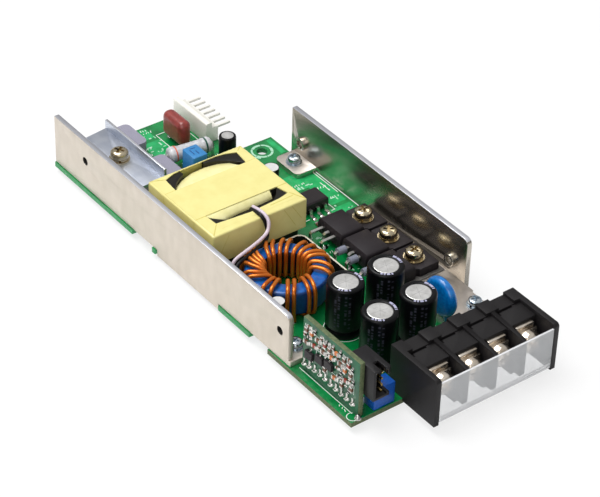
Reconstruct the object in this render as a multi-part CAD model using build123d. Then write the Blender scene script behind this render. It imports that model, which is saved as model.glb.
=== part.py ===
from build123d import *
import math
import os

# Open-frame switching power supply: a long circuit board between two upright heatsink plates.
# Sizes are in millimetres. While the pieces are built, x runs across from the left plate's outer
# face, y runs back from the board's front edge, and z runs up from the board's top face.

# How far a sought edge may lie from the place it is looked for
nearness = 0.01

# Board
board_length = 138.1
board_thickness = 1.6
board_overhang = 0.35
board_side_gap = 0.15
wide_part_length = 113.1
narrow_part_edge = 44.5
notch_depth = 2.2
small_notch_front = 35.4
small_notch_width = 8.0
long_notch_front = 57.5
long_notch_width = 29.6
back_notch_front = 88.7
back_notch_width = 9.6
mounting_hole_diameter = 3.2
mounting_hole_edge_x = 6.45
mounting_hole_edge_y = 4.6

# Heatsink plates
frame_width = 59.6
plate_thickness = 1.6
plate_height = 15.6
plate_corner = 1.8
left_plate_front = 27.0
left_plate_back = 138.1
right_plate_front = 25.8
right_plate_back = 103.3
tab_drop = 1.9
tab_play = 0.4
foot_corner = 1.8
left_foot_width = 6.6
left_foot_length = 8.2
left_foot_setback = 1.0
back_foot_width = 15.4
back_foot_length = 34.0
right_back_foot_width = 7.0
right_back_foot_length = 10.8
right_back_foot_setback = 1.2
long_foot_width = 11.8
long_foot_front = 12.0
long_foot_back = 68.6
long_foot_relief = 0.6
relief_length = 10.1

# Tapped side holes that take the outer frame
tapped_hole_diameter = 2.5
tapped_boss_diameter = 3.8
tapped_boss_height = 1.1
left_hole_front = 30.8
left_hole_spacing = 91.5
left_hole_height = 9.0
right_hole_front = 31.7
right_hole_spacing = 66.4
right_hole_height = 6.1

# Screws that hold the feet to the board
screw_shank_diameter = 2.6
head_shoulder = 0.6
head_crown = 0.7
shank_play = 0.2
foot_screw_head_diameter = 3.8
foot_screw_head_height = 1.3
washer_diameter = 4.8
washer_thickness = 0.4
lock_washer_inset = 0.8
lock_washer_thickness = 0.6
nut_across_corners = 5.6
nut_thickness = 1.6
left_screw_x = 5.0
left_screw_y = 30.5
right_screw_from_plate = 3.8
right_back_screw_y = 97.0
right_front_screw_y = 17.0

# Clamp channel over the two primary transistors
clamp_screw_x = 10.6
clamp_screw_y = 121.0
clamp_screw_head_diameter = 5.2
clamp_screw_head_height = 2.2
channel_steel = 0.8
channel_plate_gap = 0.5
channel_edge_x = 16.6
channel_flange_height = 3.6
channel_front = 106.2
channel_back = 136.3
channel_back_skew = 1.8
cap_length = 20.6
cap_width = 11.0
cap_height = 4.0
cap_wall = 0.45
cap_corner = 1.6
cap_plate_gap = 0.7
cap_y_offset = 9.2
cap_lead_room = 1.6
cap_lead_margin = 1.0
primary_play = 0.1
primary_body_length = 15.6
primary_body_thickness = 2.6
primary_lead_pitch = 2.54

# Power transistors on the right bracket's long foot
transistor_width = 10.2
transistor_length = 16.4
transistor_pitch = 11.1
transistor_front_y = 39.6
transistor_count = 3
sleeved_transistors = 2
transistor_plate_gap = 1.8
transistor_body = 4.3
transistor_tab = 2.5
transistor_body_length = 7.9
transistor_screw_from_end = 4.6
transistor_notch = 0.8
transistor_notch_step = 1.2
transistor_draft = 0.5
transistor_lead_width = 0.9
transistor_lead_thickness = 0.5
transistor_lead_height = 2.6
transistor_lead_reach = 4.2
middle_lead_reach = 1.4
sleeve_diameter = 2.2
sleeve_length = 2.6
sleeve_start = 0.5
pad_thickness = 0.3
pad_margin = 1.2
transistor_screw_head_diameter = 5.0
transistor_screw_head_height = 2.0
transistor_washer_diameter = 6.0

# Transformer
transformer_x = 19.85
transformer_y = 81.7
transformer_width = 31.1
transformer_depth = 31.0
transformer_height = 15.0
tape_thickness = 0.25
tape_band = 9.4
core_setback = 0.7
centre_strip = 14.0
winding_diameter = 26.0
winding_dome = 1.5
well_play = 0.7
core_yoke = 2.6
core_leg = 3.1
core_post_diameter = 12.0
bobbin_wall = 0.8
bobbin_lift = 1.0
back_gap = (14.5, 22.0)
rail_inset = 1.4
transformer_pin = 0.8
transformer_pin_pitch = 5.0
transformer_pins_per_side = 6
lead_diameter = 1.0
lead_sides = 8
bend_share = 0.45

# Toroidal choke
choke_x = 17.4
choke_y = 51.0
core_outer_diameter = 22.9
core_inner_diameter = 13.0
core_height = 7.5
core_lift = 1.4
core_edge = 0.6
wire_diameter = 1.15
wire_arch = 0.8
wire_corner = 1.6
wire_chamfer = 0.34
pair_play = 0.05
winding_groups = 11
winding_start_angle = -91.0
winding_gap_angle = 71.0
wall_thickness = 0.5
wall_height = 5.65
wall_right_x = 32.6
wall_back_y = 64.6
wall_left_x = 14.0
wall_front_y = 41.0
wall_corner = 2.5

# Electrolytic capacitors
capacitor_diameter = 10.0
capacitor_height = 16.0
capacitor_rim = 1.5
capacitor_crimp = 0.45
capacitor_crimp_height = 2.2
capacitor_crimp_half = 0.7
capacitor_shoulder = 0.5
capacitor_top_step = 0.3
small_shoulder = 0.4
capacitor_centres = ((20.9, 30.6), (33.7, 30.0), (33.5, 16.4), (20.6, 16.0))
small_capacitors = ((38.6, 107.9, 5.0, 11.0), (40.3, 89.3, 4.6, 10.0), (3.9, 37.0, 4.0, 13.0))

# Other parts on the board
disc_x = 44.2
disc_y = 19.4
disc_diameter = 11.6
disc_thickness = 3.8
disc_lift = 1.7
disc_flat = 0.68
disc_shoulder = 0.93
disc_rim = 0.6
film_x = 34.0
film_y = 126.6
film_width = 4.2
film_length = 10.2
film_height = 8.0
film_lift = 1.0
film_round = 1.9
box_x = 27.6
box_y = 108.2
box_width = 4.8
box_length = 5.9
box_height = 9.6
box_edge = 0.3
axial_start = (24.0, 116.5)
axial_end = (37.6, 114.8)
axial_height = 4.6
axial_diameter = 4.8
axial_waist = 4.2
axial_cap = 2.6
axial_slope = 0.6
axial_face = 0.7
axial_bend = 0.35
wire_lead = 0.7
disc_lead_offset = 2.5
film_lead_offset = 3.5
chip_x = 46.4
chip_y = 79.0
chip_width = 8.3
chip_length = 6.2
chip_thickness = 3.2
chip_lift = 0.4
chip_leg_pitch = 2.54
chip_legs_per_side = 3
chip_edge = 0.4
chip_leg_width = 0.9
chip_leg_thickness = 0.3
chip_knee = 0.8
chip_leg_reach = 2.3

# Terminal block
way_pitch = 9.5
ways = 4
block_centre_x = 36.2
block_front = -12.5
block_back = 5.65
block_bottom = -0.8
block_top = 13.9
end_wall = 1.6
end_play = 0.05
divider = 1.2
divider_front = -11.8
divider_top = 12.9
divider_foot = -0.5
divider_step_front = -8.2
divider_step_back = -9.4
divider_toe = 1.0
divider_slope = 2.0
divider_nose = 0.5
hub_width = 4.2
end_hub_width = 3.4
hub_step = 0.3
block_lip = 2.4
block_corner = 1.0
block_end_play = 0.2
hub_front = 1.2
way_top = 12.7
way_front = -5.2
way_shelf = 13.0
slot_width = 0.6
slot_depth = 0.5
slot_reach = 3.6
slot_length = 5.2
slot_hook = 1.6
terminal_plate = 1.2
terminal_plate_width = 5.6
terminal_plate_top = 12.0
terminal_plate_bottom = 3.6
terminal_screw_height = 7.9
terminal_screw_shank = 3.4
terminal_screw_depth = 2.4
terminal_hole_play = 0.4
terminal_tip_play = 0.3
terminal_screw_head = 5.8
terminal_screw_head_height = 2.0
terminal_washer = 6.6
terminal_washer_height = 5.3
terminal_washer_thickness = 0.8
terminal_pin = 1.0
terminal_pin_y = 2.4
cover_thickness = 0.6
cover_top = 12.8
cover_bottom = 0.0
cover_play = 0.1

# Control board, its header and the trimmer
control_x = 2.3
control_thickness = 1.5
control_front = 0.8
control_length = 23.2
control_height = 17.2
control_pin = 0.5
control_pin_pitch = 2.2
control_pin_count = 10
control_pin_front = 2.9
control_pin_height = 3.5
control_pin_reach = 1.6
control_pin_tip = 0.6
header_width = 5.1
header_front = -3.0
header_back = 6.9
header_bottom = 6.9
header_top = 16.4
header_wall = 0.8
header_notch_start = 2.0
header_notch_width = 1.6
header_notch_length = 3.4
header_back_wall = 2.8
header_window_low = 1.2
header_window_high = 2.6
header_pin_drop = 1.6
header_pin_setback = 1.2
header_pin_end = 0.6
header_pin = 0.5
header_pitch = 2.0
header_rows = 4
trimmer_x = 7.05
trimmer_y = 0.35
trimmer_width = 6.65
trimmer_depth = 4.15
trimmer_height = 6.6
trimmer_step_width = 2.4
trimmer_step_depth = 1.4
trimmer_step = 0.8
rotor_diameter = 2.2
rotor_height = 0.5
rotor_slot_width = 0.4
rotor_slot_depth = 0.3

# Control board's own parts, each given by its y and z
control_packages = ((20.5, 7.0), (16.3, 8.4), (12.5, 9.1))
package_length = 3.0
package_height = 2.2
package_rise = 1.0
control_chips = (
    (22.3, 14.1),
    (20.2, 14.0),
    (17.5, 13.6),
    (14.7, 14.0),
    (12.8, 13.8),
    (10.0, 14.5),
    (6.8, 14.4),
    (6.6, 11.6),
    (4.4, 11.7),
    (5.9, 8.8),
    (4.4, 7.8),
    (10.7, 6.4),
)
control_chip_length = 0.9
control_chip_height = 1.7
control_chip_rise = 0.5

# Input connector, whose pins reach out past the board's narrow edge
connector_wall = 4.1
connector_centre_y = 129.2
connector_ways = 7
connector_pitch = 2.5
connector_end = 0.9
connector_base_height = 4.8
connector_ridge_height = 6.7
connector_ridge_width = 1.9
connector_round = 0.6
connector_pin = 0.7
connector_pin_height = 4.0
connector_pin_reach = 4.7

# Solder under the board and small surface parts on it
joint_diameter = 2.4
joint_height = 1.4
joint_tip = 1.0
joint_sides = 8
surface_chip_spots = ((43.0, 70.6), (45.6, 70.6), (40.6, 84.6), (34.4, 61.6), (34.4, 56.4), (34.4, 50.8))
surface_chip_width = 1.2
surface_chip_length = 2.0
surface_chip_rise = 0.6

STAND = (Align.CENTER, Align.CENTER, Align.MIN)
right_plate_inner = frame_width - plate_thickness
board_right = right_plate_inner - board_side_gap
right_screw_x = right_plate_inner - right_screw_from_plate
mounting_hole_x = board_right - mounting_hole_edge_x
mounting_hole_y = wide_part_length - mounting_hole_edge_y
foot_top = plate_thickness
nut_bottom = -board_thickness - nut_thickness


def block(x_span, y_span, z_span):
    """A straight block between two limits each way."""
    spans = (x_span, y_span, z_span)
    size = [end - start for start, end in spans]
    middle = [(end + start) / 2 for start, end in spans]
    return Pos(*middle) * Box(*size)


def post(x, y, z_span, diameter):
    """An upright round bar."""
    return Pos(x, y, z_span[0]) * Cylinder(diameter / 2, z_span[1] - z_span[0], align=STAND)


def bar_along_x(x_span, y, z, diameter):
    """A round bar that lies along x."""
    length = x_span[1] - x_span[0]
    return Pos(x_span[0], y, z) * Rot(0, 90, 0) * Cylinder(diameter / 2, length, align=STAND)


def bar_along_y(x, y_span, z, diameter):
    """A round bar that lies along y."""
    length = y_span[1] - y_span[0]
    return Pos(x, y_span[0], z) * Rot(-90, 0, 0) * Cylinder(diameter / 2, length, align=STAND)


def flat_shape(points, z_span):
    """A plan outline of x and y points, raised between two heights."""
    face = make_face(Polyline(*points, close=True))
    return Pos(0, 0, z_span[0]) * extrude(face, amount=z_span[1] - z_span[0])


def section_along_x(points, x_span):
    """An outline of y and z points, drawn out along x."""
    face = make_face(Polyline(*points, close=True))
    return extrude(Plane.YZ.offset(x_span[0]) * face, amount=x_span[1] - x_span[0])


def section_along_y(points, y_span):
    """An outline of x and z points, drawn out along y."""
    face = make_face(Polyline(*points, close=True))
    return extrude(Plane.XZ.offset(-y_span[1]) * face, amount=y_span[1] - y_span[0])


def turned(points):
    """A round piece about the z axis, from its half section of radius and height points."""
    face = make_face(Polyline(*points, close=True))
    return revolve(Plane.XZ * face, Axis.Z)


def ring(x, y, z_span, outer, inner):
    """A flat ring such as a washer."""
    return post(x, y, z_span, outer) - post(x, y, z_span, inner)


def round_corners(shape, x_spot, y_spot, radius):
    """Rounds the upright edges that stand at the given plan positions."""
    edges = [
        edge
        for edge in shape.edges().filter_by(Axis.Z)
        if any(math.dist((edge.center().X, edge.center().Y), spot) < nearness for spot in zip(x_spot, y_spot))
    ]
    return fillet(edges, radius)


# Board


def lead_spots():
    """Where leads meet the board, so that the solder joints follow their parts."""
    spots = []
    for number in range(transistor_count):
        y = transistor_y(number)
        face = transistor_inner_x()
        spots.append((face - transistor_lead_reach, y - primary_lead_pitch))
        spots.append((face - transistor_lead_reach, y + primary_lead_pitch))
        spots.append((face - middle_lead_reach, y))
    for side in (-1, 1):
        for index in range(transformer_pins_per_side):
            spots.append(transformer_pin_spot(side, index))
    for index in range(connector_ways):
        spots.append((connector_tail_x(), connector_pin_y(index)))
    for index in range(ways):
        spots.append((way_x(index), terminal_pin_y))
    for x, y in capacitor_centres:
        spots.append((x - primary_lead_pitch, y))
        spots.append((x + primary_lead_pitch, y))
    for group in (0, winding_groups - 1):
        place = choke_turn_place(group, 0) * Pos(choke_lead_offset(), 0, 0)
        spots.append((place.position.X, place.position.Y))
    return spots


def make_main_board():
    """The board: one routed sheet with notches for the left plate and holes for the screws."""
    left = -board_overhang
    inner = left + notch_depth
    notches = (
        (back_notch_front, back_notch_width),
        (long_notch_front, long_notch_width),
        (small_notch_front, small_notch_width),
    )
    outline = [
        (left, 0),
        (board_right, 0),
        (board_right, wide_part_length),
        (narrow_part_edge, wide_part_length),
        (narrow_part_edge, board_length),
        (left, board_length),
    ]
    for front, width in notches:
        outline += [(left, front + width), (inner, front + width), (inner, front), (left, front)]
    board = flat_shape(outline, (-board_thickness, 0))
    board -= post(mounting_hole_x, mounting_hole_y, (-board_thickness, 0), mounting_hole_diameter)
    for x, y in board_screw_spots() + [(clamp_screw_x, clamp_screw_y)]:
        board -= post(x, y, (-board_thickness, 0), screw_shank_diameter + shank_play)
    return board


def make_solder_joints():
    """Low peaks of solder under the board, one at each lead."""
    base = RegularPolygon(joint_diameter / 2, joint_sides)
    tip = Pos(0, 0, -joint_height) * RegularPolygon(joint_tip / 2, joint_sides)
    peak = loft([base, tip])
    return [Pos(x, y, -board_thickness) * peak for x, y in lead_spots()]


# Plates


def tapped_boss(x_face, direction, y, z):
    """The raised collar of an extruded hole, on the plate's inner side."""
    reach = x_face + direction * tapped_boss_height
    return bar_along_x(sorted((x_face, reach)), y, z, tapped_boss_diameter)


def left_hole_ys():
    return (left_hole_front, left_hole_front + left_hole_spacing)


def right_hole_ys():
    return (right_hole_front, right_hole_front + right_hole_spacing)


def upright_plate(front, back, x_span):
    """The upright wall of a plate, with its top corner rounded at the front."""
    wall = block(x_span, (front, back), (0, plate_height))
    corner = wall.edges().filter_by(Axis.X).group_by(Axis.Z)[-1].sort_by(Axis.Y)[0]
    return fillet(corner, plate_corner)


def foot(x_span, y_span, free_x):
    """A flat foot with its two free corners rounded."""
    return round_corners(block(x_span, y_span, (0, foot_top)), (free_x, free_x), y_span, foot_corner)


def make_left_plate():
    """The left plate: one folded sheet with two feet and a tab that drops into the board's notch."""
    plate = upright_plate(left_plate_front, left_plate_back, (0, plate_thickness))
    foot_edge = plate_thickness + left_foot_width
    foot_front = left_plate_front - left_foot_setback
    plate += foot((plate_thickness, foot_edge), (foot_front, foot_front + left_foot_length), foot_edge)
    plate += block((0, plate_thickness), (foot_front, left_plate_front), (0, foot_top))
    back_edge = plate_thickness + back_foot_width
    back_front = left_plate_back - back_foot_length
    plate += foot((plate_thickness, back_edge), (back_front, left_plate_back), back_edge)
    tab_front = long_notch_front + tab_play
    tab_back = long_notch_front + long_notch_width - tab_play
    plate += block((0, plate_thickness), (tab_front, tab_back), (-tab_drop, 0))
    for y in left_hole_ys():
        plate += tapped_boss(plate_thickness, 1, y, left_hole_height)
        depth = (0, plate_thickness + tapped_boss_height)
        plate -= bar_along_x(depth, y, left_hole_height, tapped_hole_diameter)
    plate -= post(left_screw_x, left_screw_y, (0, foot_top), screw_shank_diameter + shank_play)
    plate -= post(clamp_screw_x, clamp_screw_y, (0, foot_top), screw_shank_diameter + shank_play)
    return plate


def make_right_bracket():
    """The right bracket: one folded sheet with a short rear foot and a long foot for the transistors."""
    bracket = upright_plate(right_plate_front, right_plate_back, (right_plate_inner, frame_width))
    rear_edge = right_plate_inner - right_back_foot_width
    rear_back = right_plate_back - right_back_foot_setback
    rear_front = rear_back - right_back_foot_length
    bracket += foot((rear_edge, right_plate_inner), (rear_front, rear_back), rear_edge)
    long_edge = right_plate_inner - long_foot_width
    bracket += foot((long_edge, right_plate_inner), (long_foot_front, long_foot_back), long_edge)
    relief_back = long_foot_front + relief_length
    relief_edge = right_plate_inner - long_foot_relief
    bracket -= block((relief_edge, right_plate_inner), (long_foot_front, relief_back), (0, foot_top))
    for y in right_hole_ys():
        bracket += tapped_boss(right_plate_inner, -1, y, right_hole_height)
        depth = (right_plate_inner - tapped_boss_height, frame_width)
        bracket -= bar_along_x(depth, y, right_hole_height, tapped_hole_diameter)
    for y in (right_back_screw_y, right_front_screw_y):
        bracket -= post(right_screw_x, y, (0, foot_top), screw_shank_diameter + shank_play)
    for number in range(transistor_count):
        spot = (transistor_screw_x(), transistor_y(number))
        bracket -= post(*spot, (0, foot_top), screw_shank_diameter)
    return bracket


# Screws, washers and nuts


def board_screw_spots():
    return [
        (left_screw_x, left_screw_y),
        (right_screw_x, right_back_screw_y),
        (right_screw_x, right_front_screw_y),
    ]


def pan_screw(seat, tip, head_diameter, head_height):
    """A round-headed screw about the z axis, from its tip to the top of its head."""
    shank = screw_shank_diameter / 2
    head = head_diameter / 2
    shoulder = seat + head_height * head_shoulder
    top = seat + head_height
    outline = [
        (0, tip),
        (shank, tip),
        (shank, seat),
        (head, seat),
        (head, shoulder),
        (head * head_crown, top),
        (0, top),
    ]
    return turned(outline)


def washer_stack(x, y, seat, diameter):
    """A flat washer with a split lock washer on it."""
    inner = screw_shank_diameter + shank_play
    flat_top = seat + washer_thickness
    flat_washer = ring(x, y, (seat, flat_top), diameter, inner)
    lock_top = flat_top + lock_washer_thickness
    lock_washer = ring(x, y, (flat_top, lock_top), diameter - lock_washer_inset, inner)
    return [flat_washer, lock_washer]


def stack_top(seat):
    return seat + washer_thickness + lock_washer_thickness


def hex_nut(x, y):
    """A nut under the board, flush with the end of its screw."""
    body = Pos(x, y, nut_bottom) * extrude(RegularPolygon(nut_across_corners / 2, 6), amount=nut_thickness)
    return body - post(x, y, (nut_bottom, -board_thickness), screw_shank_diameter)


def make_board_screws():
    screw = pan_screw(stack_top(foot_top), nut_bottom, foot_screw_head_diameter, foot_screw_head_height)
    return [Pos(x, y, 0) * screw for x, y in board_screw_spots()]


def make_board_washers():
    pieces = []
    for x, y in board_screw_spots():
        pieces += washer_stack(x, y, foot_top, washer_diameter)
    return pieces


def make_board_nuts():
    return [hex_nut(x, y) for x, y in board_screw_spots() + [(clamp_screw_x, clamp_screw_y)]]


# Primary transistors under their clamp


def channel_web_bottom():
    return foot_top + cap_height


def cap_ys():
    return (clamp_screw_y - cap_y_offset, clamp_screw_y + cap_y_offset)


def make_clamp_channel():
    """The clamp: thin steel folded up along its inner edge and pressed on the two caps."""
    bottom = channel_web_bottom()
    left = plate_thickness + channel_plate_gap
    outline = [
        (left, channel_front),
        (channel_edge_x, channel_front),
        (channel_edge_x, channel_back),
        (left, channel_back - channel_back_skew),
    ]
    channel = flat_shape(outline, (bottom, bottom + channel_steel))
    flange_x = (channel_edge_x - channel_steel, channel_edge_x)
    channel += block(flange_x, (channel_front, channel_back), (bottom, bottom + channel_flange_height))
    outer_fold = [
        edge
        for edge in channel.edges().filter_by(Axis.Y)
        if abs(edge.center().X - channel_edge_x) < nearness
        and abs(edge.center().Z - bottom) < nearness
    ]
    channel = fillet(outer_fold, channel_steel)
    depth = (bottom, bottom + channel_steel)
    return channel - post(clamp_screw_x, clamp_screw_y, depth, screw_shank_diameter + shank_play)


def make_clamp_screw():
    seat = stack_top(channel_web_bottom() + channel_steel)
    screw = pan_screw(seat, nut_bottom, clamp_screw_head_diameter, clamp_screw_head_height)
    return Pos(clamp_screw_x, clamp_screw_y, 0) * screw


def make_clamp_washers():
    seat = channel_web_bottom() + channel_steel
    return washer_stack(clamp_screw_x, clamp_screw_y, seat, transistor_washer_diameter)


def cap_left():
    return plate_thickness + cap_plate_gap


def primary_pocket():
    """The room inside a cap: x limits and z limits."""
    x_span = (cap_left() + cap_wall, cap_left() + cap_length - cap_wall)
    z_span = (foot_top + cap_wall, foot_top + cap_height - cap_wall)
    return x_span, z_span


def primary_lead_x():
    return cap_left() + cap_length - cap_wall - wire_lead


def make_insulating_caps():
    """Two silicone caps, each a thimble that covers a transistor and its leads."""
    pieces = []
    right = cap_left() + cap_length
    x_span, z_span = primary_pocket()
    lead_room = (primary_lead_x() - cap_lead_room, x_span[1])
    for y in cap_ys():
        y_span = (y - cap_width / 2, y + cap_width / 2)
        outer = block((cap_left(), right), y_span, (foot_top, foot_top + cap_height))
        cap = round_corners(outer, (right, right), y_span, cap_corner)
        room = (y_span[0] + cap_wall, y_span[1] - cap_wall)
        pocket = block(x_span, room, z_span)
        cap -= round_corners(pocket, (x_span[1],) * 2, room, cap_corner - cap_wall)
        half_room = 2 * primary_lead_pitch - cap_lead_margin
        leads = (y - half_room, y + half_room)
        cap -= block(lead_room, leads, (foot_top, z_span[0]))
        pieces.append(cap)
    return pieces


def make_primary_transistors():
    """Two flat power transistors with their leads bent down to the board."""
    pieces = []
    x_span, z_span = primary_pocket()
    body_start = x_span[0] + primary_play
    body_x = (body_start, body_start + primary_body_length)
    half = cap_width / 2 - cap_wall - primary_play
    lead_z = z_span[0] + primary_body_thickness / 2
    lead_x = primary_lead_x()
    for y in cap_ys():
        body_top = z_span[0] + primary_body_thickness
        body = block(body_x, (y - half, y + half), (z_span[0], body_top))
        for side in (-1, 0, 1):
            lead_y = y + side * primary_lead_pitch
            body += bent_lead(body_x[1], lead_x, lead_y, lead_z, wire_lead)
        pieces.append(body)
    return pieces


def bent_lead(face_x, bend_x, y, z, width):
    """A flat lead that leaves a face along x and bends down to the board's top."""
    step = transistor_lead_thickness if bend_x > face_x else -transistor_lead_thickness
    half = transistor_lead_thickness / 2
    outline = [
        (face_x, z + half),
        (bend_x, z + half),
        (bend_x + step, z - half),
        (bend_x + step, 0),
        (bend_x, 0),
        (bend_x, z - half),
        (face_x, z - half),
    ]
    return section_along_y(outline, (y - width / 2, y + width / 2))


# Power transistors


def transistor_y(number):
    return transistor_front_y + number * transistor_pitch


def transistor_outer_x():
    return right_plate_inner - transistor_plate_gap


def transistor_inner_x():
    return transistor_outer_x() - transistor_length


def transistor_screw_x():
    return transistor_outer_x() - transistor_screw_from_end


def transistor_base():
    return foot_top + pad_thickness


def make_transistor_pad():
    """The thin insulating pad between the transistors and the foot."""
    x_span = (right_plate_inner - long_foot_width, transistor_outer_x() + pad_margin)
    front = transistor_y(0) - transistor_width / 2 - pad_margin
    back = transistor_y(transistor_count - 1) + transistor_width / 2 + pad_margin
    pad = block(x_span, (front, back), (foot_top, transistor_base()))
    for number in range(transistor_count):
        spot = (transistor_screw_x(), transistor_y(number))
        pad -= post(*spot, (foot_top, transistor_base()), screw_shank_diameter + shank_play)
    return pad


def make_power_transistor(number):
    """A moulded transistor: a thick drafted body and a thinner tab with its screw hole."""
    y = transistor_y(number)
    inner = transistor_inner_x()
    outer = transistor_outer_x()
    step = inner + transistor_body_length
    base = transistor_base()
    outline = [
        (inner, base),
        (outer, base),
        (outer, base + transistor_tab),
        (step + transistor_draft, base + transistor_tab),
        (step, base + transistor_body),
        (inner + transistor_draft, base + transistor_body),
        (inner, base + transistor_lead_height),
    ]
    y_span = (y - transistor_width / 2, y + transistor_width / 2)
    body = section_along_y(outline, y_span)
    sides = [
        edge
        for edge in body.edges().filter_by(Axis.X)
        if abs(edge.center().Z - base - transistor_body) < nearness
    ]
    body = chamfer(sides, transistor_draft)
    for side in y_span:
        body -= post(step + transistor_notch_step, side, (base, base + transistor_body), 2 * transistor_notch)
    hole = screw_shank_diameter + shank_play
    return body - post(transistor_screw_x(), y, (base, base + transistor_body), hole)


def lead_z():
    return transistor_base() + transistor_lead_height


def make_transistor_leads():
    pieces = []
    face = transistor_inner_x()
    for number in range(transistor_count):
        y = transistor_y(number)
        for side in (-1, 1):
            lead_y = y + side * primary_lead_pitch
            reach = face - transistor_lead_reach
            pieces.append(bent_lead(face, reach, lead_y, lead_z(), transistor_lead_width))
        pieces.append(bent_lead(face, face - middle_lead_reach, y, lead_z(), transistor_lead_width))
    return pieces


def make_lead_sleeves(leads):
    """Short grey sleeves slipped over the outer leads of the first two transistors."""
    pieces = []
    start = transistor_inner_x() - transistor_lead_reach + sleeve_start
    for number in range(sleeved_transistors):
        for side in (-1, 1):
            y = transistor_y(number) + side * primary_lead_pitch
            sleeve = bar_along_x((start, start + sleeve_length), y, lead_z(), sleeve_diameter)
            pieces.append(sleeve - leads)
    return pieces


def transistor_seat():
    return transistor_base() + transistor_tab


def make_transistor_screws():
    seat = stack_top(transistor_seat())
    screw = pan_screw(seat, 0, transistor_screw_head_diameter, transistor_screw_head_height)
    return [Pos(transistor_screw_x(), transistor_y(n), 0) * screw for n in range(transistor_count)]


def make_transistor_washers():
    pieces = []
    for number in range(transistor_count):
        spot = (transistor_screw_x(), transistor_y(number))
        pieces += washer_stack(*spot, transistor_seat(), transistor_washer_diameter)
    return pieces


# Transformer


def transformer_span(inset):
    """The transformer's limits in x and y, drawn in by an inset."""
    half_x = transformer_width / 2 - inset
    half_y = transformer_depth / 2 - inset
    x_span = (transformer_x - half_x, transformer_x + half_x)
    y_span = (transformer_y - half_y, transformer_y + half_y)
    return x_span, y_span


def core_y():
    """The core's centre line, a little behind the middle of the taped box."""
    return transformer_y + core_setback


def strip_span():
    return (core_y() - centre_strip / 2, core_y() + centre_strip / 2)


def under_tape():
    return transformer_height - tape_thickness


def core_half(outer_z, inner_z, yoke_z):
    """One E-shaped ferrite half: a yoke, two side legs and a round centre post."""
    x_span, _ = transformer_span(tape_thickness)
    half = block(x_span, strip_span(), sorted((outer_z, yoke_z)))
    for legs in ((x_span[0], x_span[0] + core_leg), (x_span[1] - core_leg, x_span[1])):
        half += block(legs, strip_span(), sorted((yoke_z, inner_z)))
    return half + post(transformer_x, core_y(), sorted((yoke_z, inner_z)), core_post_diameter)


def core_middle():
    return (under_tape() + bobbin_lift) / 2


def make_core_upper():
    return core_half(under_tape(), core_middle(), under_tape() - core_yoke)


def make_core_lower():
    return core_half(bobbin_lift, core_middle(), bobbin_lift + core_yoke)


def winding_floor():
    return bobbin_lift + core_yoke + bobbin_wall


def make_bobbin():
    """The black bobbin: two end blocks with a round well, joined by a floor and a tube."""
    x_span, y_span = transformer_span(tape_thickness)
    low_x, low_y = transformer_span(tape_thickness + rail_inset)
    band_bottom = transformer_height - tape_band
    bobbin = block(x_span, y_span, (band_bottom, under_tape()))
    bobbin += block(low_x, low_y, (bobbin_lift, band_bottom))
    well = winding_diameter + 2 * well_play
    bobbin -= post(transformer_x, core_y(), (winding_floor(), under_tape()), well)
    bobbin -= block(back_gap, (core_y(), y_span[1]), (band_bottom, under_tape()))
    bobbin -= block(x_span, strip_span(), (bobbin_lift, under_tape()))
    window = (x_span[0] + core_leg, x_span[1] - core_leg)
    floor = (bobbin_lift + core_yoke, winding_floor())
    bobbin += block(window, strip_span(), floor)
    tube_top = under_tape() - core_yoke
    bobbin += post(transformer_x, core_y(), (floor[0], tube_top), core_post_diameter + 2 * bobbin_wall)
    bobbin -= post(transformer_x, core_y(), (floor[0], tube_top), core_post_diameter)
    return bobbin


def make_winding():
    """The taped coil round the centre post, with its shoulder rounded off."""
    outer = winding_diameter / 2
    inner = core_post_diameter / 2 + bobbin_wall
    top = under_tape() - core_yoke
    crown = top + winding_dome
    outline = [
        (inner, winding_floor()),
        (outer, winding_floor()),
        (outer, top - winding_dome),
        (outer - winding_dome / 2, top + winding_dome / 3),
        (outer - 2 * winding_dome, crown),
        (inner, crown),
    ]
    coil = Pos(transformer_x, core_y(), 0) * turned(outline)
    x_span, _ = transformer_span(tape_thickness)
    over_coil = block(x_span, strip_span(), (top, crown))
    window = (x_span[0] + core_leg, x_span[1] - core_leg)
    legs = block(x_span, strip_span(), (winding_floor(), crown))
    legs -= block(window, strip_span(), (winding_floor(), crown))
    return coil - over_coil - legs


front_window = (
    (8.1, 75.3),
    (8.5, 70.6),
    (13.0, 69.6),
    (18.5, 69.1),
    (24.4, 69.7),
    (28.7, 70.4),
    (32.6, 71.4),
    (31.7, 75.3),
)
back_window = (
    (8.2, 89.4),
    (31.7, 89.4),
    (32.4, 94.9),
    (29.4, 96.1),
    (26.5, 96.6),
    (15.2, 96.6),
    (12.1, 96.3),
    (8.7, 95.1),
)


def make_transformer_tape():
    """The yellow wrap: a band round the sides and a top with two curved windows."""
    outer_x, outer_y = transformer_span(0)
    inner_x, inner_y = transformer_span(tape_thickness)
    bottom = transformer_height - tape_band
    wrap = block(outer_x, outer_y, (bottom, transformer_height))
    wrap -= block(inner_x, inner_y, (bottom, under_tape()))
    for window in (front_window, back_window):
        wrap -= flat_shape(window, (under_tape(), transformer_height))
    return wrap


def transformer_pin_spot(side, index):
    """Plan position of one pin: side is -1 at the front and 1 at the back."""
    middle = (transformer_pins_per_side - 1) / 2
    x = transformer_x + (index - middle) * transformer_pin_pitch
    y = transformer_y + side * (transformer_depth / 2 - tape_thickness - rail_inset - transformer_pin)
    return x, y


def make_transformer_pins():
    half = transformer_pin / 2
    pieces = []
    for side in (-1, 1):
        for index in range(transformer_pins_per_side):
            x, y = transformer_pin_spot(side, index)
            pieces.append(block((x - half, x + half), (y - half, y + half), (0, bobbin_lift)))
    return pieces


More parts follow.
